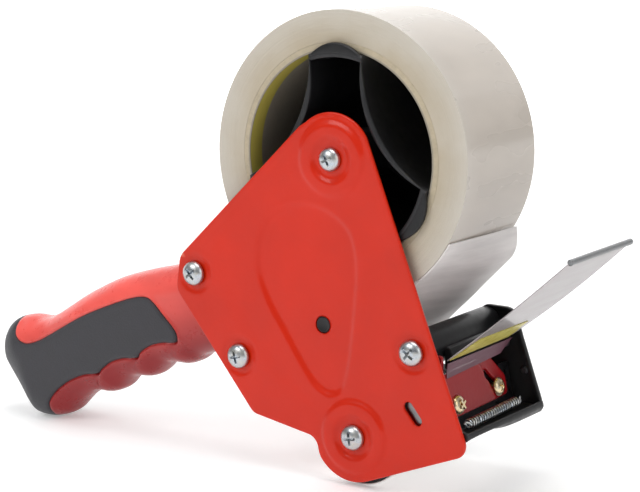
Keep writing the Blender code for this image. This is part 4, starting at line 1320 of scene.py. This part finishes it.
# ---- blade guard -------------------------------------------------------------
GUARD_NEAR_Y, GUARD_FAR_Y = 1.8, 57.0
GUARD_BARREL_R = 6.7
GUARD_BORE_R = 3.12
GUARD_STUD = (49.4, -80.6)
LIP_SCALLOP = 2.6                 # how far the lip's lower edge rises near the plate
LIP_LEAN = 1.8                    # how far back the lip leans at the plate
GUARD_FAR_WALL = rounded([(27.0, -62.0, 3.0), (33.0, -57.6, 4.0), (44.8, -57.8, 5.0),
                          (48.2, -68.4, 6.0), (57.3, -94.0, 3.5), (48.5, -97.4, 2.0),
                          (33.0, -96.6, 3.0), (27.5, -72.0, 3.0)])
GUARD_NEAR_WALL = rounded([(27.0, -62.0, 3.0), (33.0, -57.6, 4.0), (38.6, -59.0, 3.0),
                           (43.4, -72.0, 8.0), (50.4, -89.6, 4.0), (55.0, -91.6, 1.3),
                           (54.8, -94.2, 1.3), (48.5, -96.4, 2.0), (38.0, -73.0, 3.0),
                           (29.0, -71.5, 3.0)])
LIP_SECTION = rounded([(56.3, -90.8, 0.6), (57.1, -93.6, 1.6), (55.8, -95.9, 1.6),
                       (49.4, -97.0, 0.6), (48.7, -93.0, 0.6), (54.6, -92.8, 1.0),
                       (55.0, -92.4, 0.6)], 4)


def guard():
    """Two end walls, a pivot barrel and a lip under the blade."""
    bore = circle(GUARD_AXIS, GUARD_BORE_R, 32)
    far_loop = evenly(GUARD_FAR_WALL, 0.8)

    def sunk(points):
        return -0.6 * smoothstep(1.3, 2.1, edge_distance(points, [far_loop]))

    def raised(points):
        return 0.5 * smoothstep(1.2, 2.0, edge_distance(points, [far_loop]))

    walls = {
        "far": sheet([GUARD_FAR_WALL, bore], GUARD_FAR_Y - 2.0, GUARD_FAR_Y, 0.45, 1.0,
                     raised, sunk),
        "near": sheet([GUARD_NEAR_WALL, bore], GUARD_NEAR_Y, GUARD_NEAR_Y + 1.5, 0.4, 1.4),
    }
    for side, skin in walls.items():
        piece(f"guard_{side}_wall", skin, "black_plastic", "guard",
              ["blade_guard"] if side == "far" else [])
    barrel = [(GUARD_BORE_R, GUARD_NEAR_Y + 0.5), (GUARD_BARREL_R, GUARD_NEAR_Y + 0.5),
              (GUARD_BARREL_R, GUARD_FAR_Y - 0.6), (GUARD_BORE_R, GUARD_FAR_Y - 0.6)]

    def ridge(angle, radius, w):
        """A flat along the barrel's front, as the moulding has."""
        if radius < GUARD_BORE_R + 1.0:
            return radius
        return radius - 0.9 * max(0.0, math.cos(angle - math.radians(28.0))) ** 8

    piece("guard_pivot_barrel", lathe(GUARD_AXIS, soft_profile(barrel, 0.5), 72, True, ridge),
          "black_plastic", "guard")
    section = evenly(LIP_SECTION, 0.5)
    start, end = GUARD_NEAR_Y + 0.3, GUARD_FAR_Y - 0.4
    loops = []
    for k in range(25):
        y = start + (end - start) * k / 24.0
        scallop = LIP_SCALLOP * math.exp(-(((y - 13.0) / 13.0) ** 2))
        back = LIP_LEAN * (end - y) / (end - start)
        loops.append([(x - back, z + scallop * min(1.0, max(0.0, (-93.4 - z) / 2.4)), y)
                      for x, z in section])
    piece("guard_bottom_lip", loft(loops), "black_plastic", "guard")
    stud = [(0.0, 54.6), (1.1, 54.7), (1.5, 55.3), (1.5, 56.0), (0.0, 56.0)]
    piece("guard_stud", lathe(GUARD_STUD, stud, 32), "black_plastic", "guard")
    near, far = node_span("guard_rod")
    rod = [(0.0, near + 8.0), (2.0, near + 7.0), (2.0, near + 0.3), (2.3, near), (2.7, near),
           (3.0, near + 0.3), (3.0, GUARD_FAR_Y + 0.5), (2.6, GUARD_FAR_Y + 0.5),
           (2.6, GUARD_FAR_Y + 1.4), (3.0, GUARD_FAR_Y + 1.4), (3.0, far - 0.6),
           (2.4, far), (0.0, far)]
    piece("guard_pivot_pin", lathe(GUARD_AXIS, rod, 48), "steel", "frame", ["guard_rod"])
    retaining_clip("guard_rod_clip", "guard_pin_clip", 2.7)


SPRING_CENTRE = (50.6, -90.4)
SPRING_R = 1.48
SPRING_WIRE = 0.42
SPRING_TURNS = 22
SPRING_HOOK = 2.6


def coil(axis, radius, turns, steps, start, end):
    """Points of a helix about a line along y."""
    points = []
    for k in range(turns * steps + 1):
        angle = 2.0 * math.pi * k / steps
        points.append((*polar(axis, radius, angle), start + (end - start) * k / (turns * steps)))
    return points


def guard_spring():
    """Close-wound return spring along the bracket's lower edge, a hook at each end."""
    near, far = node_span("guard_spring")
    start, end = near + 0.6, far - 0.6
    coil_start, coil_end = start + SPRING_HOOK, end - SPRING_HOOK
    x, z = SPRING_CENTRE
    first_hook = [(x, z + SPRING_R * 0.4, start), (x + 0.3, z + SPRING_R * 0.9, start + 0.5),
                  (x + 0.9, z + SPRING_R * 0.6, coil_start - 0.7)]
    last_hook = [(x + 0.9, z + SPRING_R * 0.6, coil_end + 0.7),
                 (x + 0.3, z + SPRING_R * 0.9, end - 0.5), (x, z + SPRING_R * 0.4, end)]
    turns = coil(SPRING_CENTRE, SPRING_R, SPRING_TURNS, 16, coil_start, coil_end)
    points = first_hook + turns + last_hook
    piece("guard_return_spring", tube(points, SPRING_WIRE, 8), "zinc", "frame", ["guard_spring"])


# ---- bracket, blade and wiper ------------------------------------------------
BRACKET_NEAR, BRACKET_FAR = 3.6, 48.0
BRACKET_SHEET = 1.5
BLADE_SCREWS = {"near": 10.0, "far": 40.0}
BLADE_SCREW_DROP = 11.8
LEAN_BACK = basis((BRACKET_TOP[0], 0.0, BRACKET_TOP[1]), Y_AXIS, LEAN_UP, -LEAN_FRONT)
CREASE = [(29.5, 0.0), (31.8, -3.9), (38.3, -15.9)]     # edge of the raised left panel
SLOT_ENDS = ((33.6, -5.6), (39.4, -11.2))               # slot that the far screw slides in


def on_lean(drop, offset):
    """(x, z) at a distance down the bracket's face and `offset` in front of it."""
    return tuple(Vector(BRACKET_TOP) - LEAN_UP.xz * drop + LEAN_FRONT.xz * offset)


def long_slot(ends, radius):
    """Round-ended slot between two points."""
    first, last = Vector(ends[0]), Vector(ends[1])
    turn = math.degrees(math.atan2(last.y - first.y, last.x - first.x))
    return (arc(last, radius, turn - 90, turn + 90, 10)
            + arc(first, radius, turn + 90, turn + 270, 10))


def bracket():
    up, down = 0.0, -BRACKET_DROP
    outline = rounded([(BRACKET_NEAR, down, 0.0), (BRACKET_FAR, down, 2.0),
                       (BRACKET_FAR, down + 7.0, 3.0), (BRACKET_FAR - 9.0, up, 3.0),
                       (BRACKET_NEAR, up, 0.0)])
    near_hole = circle((BLADE_SCREWS["near"], -BLADE_SCREW_DROP), 1.9, 24)
    crease = np.array(CREASE)

    def pressed(points):
        away = distance_to(points, crease[:-1], crease[1:])
        line_y = np.interp(-points[:, 1], -crease[:, 1], crease[:, 0])
        signed = np.where(points[:, 0] < line_y, away, -away)
        return 0.45 * smoothstep(-0.5, 0.5, signed) - 0.35 * smoothstep(0.0, -9.0, signed)

    loops = [evenly(loop, 0.8) for loop in (outline, near_hole, long_slot(SLOT_ENDS, 1.75))]
    flat, triangles = fill(loops, 1.0, (0.1, 0.25, 0.45))
    edge = roll_off(edge_distance(flat, loops), 0.35)
    rise = pressed(flat)
    skin = between(flat, triangles, rise - edge, rise - BRACKET_SHEET + edge)
    piece("blade_cross_bracket", skin, "dark_red_paint", "frame", ["blade_bracket"], LEAN)
    ear = [(43.4, -66.2), on_lean(0.2, -0.2), on_lean(BRACKET_DROP - 0.2, -0.2), (38.0, -92.0),
           (30.0, -91.0), (29.5, -82.0), (36.0, -74.0), (40.4, -73.2), (41.2, -65.6)]
    piece("bracket_ear", sheet([rounded([(x, z, 0.8) for x, z in ear])], BRACKET_NEAR - 0.1,
                               BRACKET_NEAR + BRACKET_SHEET, 0.3, 1.5), "dark_red_paint", "frame")
    # The tab is dark steel, not the bracket's paint: painted shade in the plate's slot.
    tab = sheet([slot_outline(GAP)], PLATE_THICK + 0.4, BRACKET_NEAR + 0.5, 0.2, 0.8)
    piece("bracket_tab", tab, "steel", "frame", materials=[BEAD])


TOOTH_PITCH, TOOTH_COUNT = 2.0, 24
BLADE_START_Y = 6.0
BLADE_FRONT, BLADE_BACK = -1.8, -2.8           # heights behind the bracket's face


def blade():
    """Serrated steel strip, each tooth ground to a point."""
    top, root, tip = 5.0, 21.0, 22.6           # drops from the bracket's top
    pitch, count, start = TOOTH_PITCH, TOOTH_COUNT, BLADE_START_Y
    outline = [(start, -top), (start, -root)]
    for index in range(count):
        middle = start + pitch * (index + 0.5)
        outline += [(middle - 0.12, -tip + 0.15), (middle, -tip), (middle + 0.12, -tip + 0.15),
                    (start + pitch * (index + 1.0), -root)]
    outline.append((start + pitch * count, -top))
    holes = [circle((y, -BLADE_SCREW_DROP), 2.0, 24) for y in BLADE_SCREWS.values()]
    loops = [evenly(loop, 1.0) for loop in (outline, *holes)]
    flat, triangles = fill(loops, 1.6, (0.15, 0.5))
    ground = smoothstep(-root + 1.6, -tip, flat[:, 1])
    front = np.full(len(flat), BLADE_FRONT)
    back = BLADE_BACK + 0.9 * ground
    # The blade's near-black colour is painted shade.
    piece("serrated_blade", between(flat, triangles, front, back), "steel", "frame", ["blade"],
          LEAN, materials=[BLADE_SHADE_STEEL])


def blade_fasteners():
    for side, turn in (("near", 30.0), ("far", 65.0)):
        axis = (BLADE_SCREWS[side], -BLADE_SCREW_DROP)
        screw(f"blade_screw_{side}", axis, 3.4, (-2.3, -GAP), 1.7, 7.0, turn, LEAN_BACK, "brass")
        piece(f"blade_hex_nut_{side}", nut_skin(axis, 5.9, 3.1, 6.0, 2.0), "zinc", "frame",
              [f"blade_nut_{side}"], LEAN_BACK)


WIPER_ROOT = (44.9, -67.3)
WIPER_TIP = (90.0, -28.4)
WIPER_NEAR, WIPER_FAR = 5.0, 54.6
WIPER_BEAD_R = 1.1
CLAMP_INSET = 5.0                 # the clamp starts this much later than the film
FILM_HALF = 0.16
FLAP_BOW = 0.9
FLAP_STEP = (Vector(WIPER_TIP) - Vector(WIPER_ROOT)).normalized()
FLAP_LENGTH = (Vector(WIPER_TIP) - Vector(WIPER_ROOT)).length
FLAP_UP = Vector((-FLAP_STEP.y, FLAP_STEP.x))
FLAP = basis((WIPER_ROOT[0], 0.0, WIPER_ROOT[1]), Y_AXIS,
             Vector((FLAP_STEP.x, 0.0, FLAP_STEP.y)), Vector((FLAP_UP.x, 0.0, FLAP_UP.y)))


def flap_sag(points):
    """Slight bow and twist of the film; zero at its root and its bead."""
    share = np.clip(points[:, 1] / FLAP_LENGTH, 0.0, 1.0)
    across = (points[:, 0] - WIPER_NEAR) / (WIPER_FAR - WIPER_NEAR)
    return -FLAP_BOW * np.sin(math.pi * share) * (0.6 + 0.4 * across)


def wiper():
    clamp = rounded([(41.0, -63.4, 0.8), (43.0, -64.2, 0.8), (44.3, -67.0, 0.6),
                     (43.4, -72.0, 0.4), (41.0, -72.0, 0.6)], 4)
    bar = sheet([clamp], WIPER_NEAR + CLAMP_INSET, WIPER_FAR, 0.35, 0.8, detail=0.5)
    piece("wiper_clamp_bar", bar, "black_plastic", "frame", ["wiper_clamp"])
    last = FLAP_LENGTH - WIPER_BEAD_R * 0.6
    film = [(WIPER_NEAR, 0.0), (WIPER_FAR, 0.0), (WIPER_FAR, last), (WIPER_NEAR, last)]
    film = evenly(film, 1.5)
    flat, triangles = fill([film], 1.8)
    sag = flap_sag(flat)
    piece("wiper_film", between(flat, triangles, sag + FILM_HALF, sag - FILM_HALF), "flap_film",
          "wiper", ["wiper_flap"], FLAP, 60.0)
    strip = evenly(rounded([(5.6, 0.3, 0.2), (50.5, 0.3, 0.6), (46.5, 12.6, 0.8),
                            (9.5, 13.2, 0.8)], 3), 0.9)
    flat, triangles = fill([strip], 1.3)
    sag = flap_sag(flat)
    crease = 0.10 * np.sin(flat[:, 0] * 1.1 + flat[:, 1] * 0.7) * np.sin(flat[:, 1] * 0.5)
    piece("yellow_strip", between(flat, triangles, sag - 0.17, sag - 0.44 - crease), "flap_film",
          "wiper", [], FLAP, 60.0, [YELLOW])
    foot = [(WIPER_NEAR + 0.5, -1.2), (WIPER_FAR - 0.6, -1.2), (WIPER_FAR - 9.0, -5.4),
            (WIPER_NEAR + 0.5, -6.4)]
    step = Vector(WIPER_ROOT) - Vector(BRACKET_TOP)
    up = step.dot(LEAN_UP.xz)
    out = step.dot(LEAN_FRONT.xz)
    outline = evenly([(y, v + up) for y, v in foot], 1.2)
    flat, triangles = fill([outline], 1.6)
    share = np.clip(flat[:, 1] / up, -0.3, 1.0)
    rise = 0.75 + (out - 0.75) * np.clip(share, 0.0, 1.0)
    # The foot's darker film is painted shade.
    piece("film_foot", between(flat, triangles, rise + 0.14, rise - 0.14), "flap_film", "frame",
          [], LEAN, 60.0, [SHADED_FOOT_FILM])
    near, far = node_span("wiper_edge")
    profile = [(0.0, near), (0.7, near), (WIPER_BEAD_R, near + 0.4),
               (WIPER_BEAD_R, far - 0.4), (0.7, far), (0.0, far)]
    piece("wiper_bead", lathe(WIPER_TIP, profile, 40), "steel", "wiper", ["wiper_edge"],
          materials=[BEAD])


# ---- brake and axles ---------------------------------------------------------
KNOB_WAIST_R = 10.5               # the lobes start outside this
KNOB_LOBES = 6.0
KNOB_LOBE_RISE = 0.9


def brake():
    near, far = node_span("tension_knob")

    def lobes(angle, radius, w):
        if radius < KNOB_WAIST_R:
            return radius
        share = min(1.0, (radius - KNOB_WAIST_R) / 1.2)
        return radius + KNOB_LOBE_RISE * math.cos(KNOB_LOBES * angle) * share

    knob = [(8.3, near), (11.2, near), (12.0, near + 0.8), (12.0, near + 5.0), (12.0, far - 1.0),
            (11.2, far), (9.6, far), (9.2, far - 1.2), (8.3, far - 1.2)]
    piece("brake_knob", lathe(HUB_AXIS, knob, 120, True, lobes), "black_plastic", "tension_knob",
          ["tension_knob"])
    fine_ring("knob_insert", "brake_knob_insert", 6.15, "brass", "tension_knob", 0.3)
    fine_ring("brake_washer", "brake_plate", 6.3, "steel", "frame", 0.25)
    near, far = node_span("brake_spring")
    points = coil(HUB_AXIS, 8.2, 4, 24, near + 0.75, far - 0.75)
    piece("brake_coil", tube(points, 0.7, 10), "steel", "frame", ["brake_spring"])


def axles():
    axle("hub_axle", "reel_axle", 6.0, (11.0, 1.2), (2.7, 14.0))
    clip_y = sum(node_span("roller_clip")) / 2.0
    axle("roller_axle", "press_roller_axle", 4.5, (9.0, 1.2), (2.7, 12.0), clip_y)
    retaining_clip("roller_clip", "press_roller_clip", 4.1)
    for side in ("near", "far"):
        fine_ring(f"hub_bush_{side}", f"reel_bush_{side}", 6.15, "steel", "reel", 0.3)


def hole_plug():
    near, far = node_span("spare_hole_plug")
    flange, stem, seat = radius_of("spare_hole_plug"), 2.85, PLATE_THICK + 0.45
    profile = [(0.0, far), (flange - 0.4, far), (flange, far - 0.4), (flange, seat + 0.25),
               (flange - 0.3, seat), (stem, seat), (stem, near + 0.5), (2.5, near + 0.15),
               (2.0, near + 0.3), (0.0, near + 0.55)]
    piece("blanking_plug", lathe(SPARE_HOLE, profile, 56), "black_plastic", "frame",
          ["spare_hole_plug"])


for build in (side_plate, hole_plug, plate_screws, handle_nuts, handle, hub, hub_end_disc,
              wound_tape, free_tape, press_roller, guard, guard_spring, bracket, blade,
              blade_fasteners, wiper, brake, axles):
    build()

for name, obj in frame["nodes"].items():
    for slot in obj.material_slots:
        if slot.material and slot.material.name.split(".")[0] in FINISH:
            slot.material = FINISH[slot.material.name.split(".")[0]]


# ---- stage, light and camera -------------------------------------------------
FLOOR_GLOW = (0.30, 0.90)         # strength of the glow near the piece and far from it
FLOOR_GLOW_AT = (500.0, 1600.0)   # millimetres from the reel
FLOOR_HALF, WALL_START, COVE_R, WALL_TOP = 6.0, 3.0, 1.0, 3.0      # metres
VIEW_AZIMUTH, VIEW_ELEVATION = math.radians(33.495), math.radians(10.05)
CAMERA_PLACE = Vector((321.31, -492.38, 73.43))
LENS, SENSOR_WIDTH = 95.07, 36.0


def stage():
    """Pale floor that curves up into a far back wall and glows a little more there."""
    material, tree, shader = shader_of("pale_floor", (0.86, 0.86, 0.86), 0.6)
    shader.inputs["Emission Color"].default_value = (1.0, 1.0, 1.0, 1.0)
    where = coordinates(tree)
    reach = length_of(tree, coordinates(tree, stretch=(1.0, 1.0, 0.0)))
    glow = remap(tree, reach, *FLOOR_GLOW_AT, *FLOOR_GLOW)
    feed(tree, shader.inputs["Emission Strength"], glow)
    tone = mix(tree, noise(tree, where, 60.0), (0.85, 0.85, 0.85), (0.87, 0.87, 0.87))
    feed(tree, shader.inputs["Base Color"], tone)
    rows = [(-FLOOR_HALF, 0.0), (WALL_START, 0.0)]
    rows += arc((WALL_START, COVE_R), COVE_R, -81.0, 0.0, 9)
    rows.append((WALL_START + COVE_R, WALL_TOP))
    verts = [(x, y, z) for y, z in rows for x in (-FLOOR_HALF, FLOOR_HALF)]
    faces = [(2 * k, 2 * k + 1, 2 * k + 3, 2 * k + 2) for k in range(len(rows) - 1)]
    mesh = bpy.data.meshes.new("pale_floor")
    mesh.from_pydata(verts, [], faces)
    mesh.shade_smooth()
    mesh.materials.append(material)
    floor = new_object("pale_floor", mesh)
    floor.rotation_euler.z = math.radians(33.5)


def soft_light(name, place, target, size, power):
    data = bpy.data.lights.new(name, "AREA")
    data.shape = "RECTANGLE"
    data.size, data.size_y = size
    data.energy = power
    light = new_object(name, data)
    light.location = place
    light.rotation_euler = (Vector(target) - Vector(place)).to_track_quat("-Z", "Y").to_euler()


def lights():
    """Soft studio: bright from above, darker towards the horizon."""
    world = bpy.data.worlds.new("studio")
    world.use_nodes = True
    tree = world.node_tree
    ahead = node(tree, "ShaderNodeTexCoord").outputs["Generated"]
    split = node(tree, "ShaderNodeSeparateXYZ", {0: ahead})
    glow = remap(tree, split.outputs[2], -0.1, 0.9, 0.10, 0.50)
    tree.nodes["Background"].inputs[0].default_value = (1.0, 1.0, 1.0, 1.0)
    feed(tree, tree.nodes["Background"].inputs[1], glow)
    bpy.context.scene.world = world
    bpy.context.scene.view_settings.view_transform = "Standard"
    centre = (0.0, 0.0, 0.09)
    soft_light("key", (-0.35, -0.9, 0.85), centre, (0.6, 0.6), 4.8)
    soft_light("overhead", (0.1, 0.05, 1.1), centre, (0.9, 0.6), 5.6)
    soft_light("side", (1.1, -0.3, 0.5), centre, (0.5, 0.8), 2.0)


def camera():
    data = bpy.data.cameras.new("camera")
    data.sensor_width = SENSOR_WIDTH
    data.lens = LENS
    data.clip_start = 0.05
    cam = new_object("camera", data)
    cam.location = ORIGIN + CAMERA_PLACE * MM
    ahead = Vector((-math.sin(VIEW_AZIMUTH) * math.cos(VIEW_ELEVATION),
                    math.cos(VIEW_AZIMUTH) * math.cos(VIEW_ELEVATION),
                    -math.sin(VIEW_ELEVATION)))
    cam.rotation_euler = ahead.to_track_quat("-Z", "Y").to_euler()
    bpy.context.scene.camera = cam


stage()
lights()
camera()
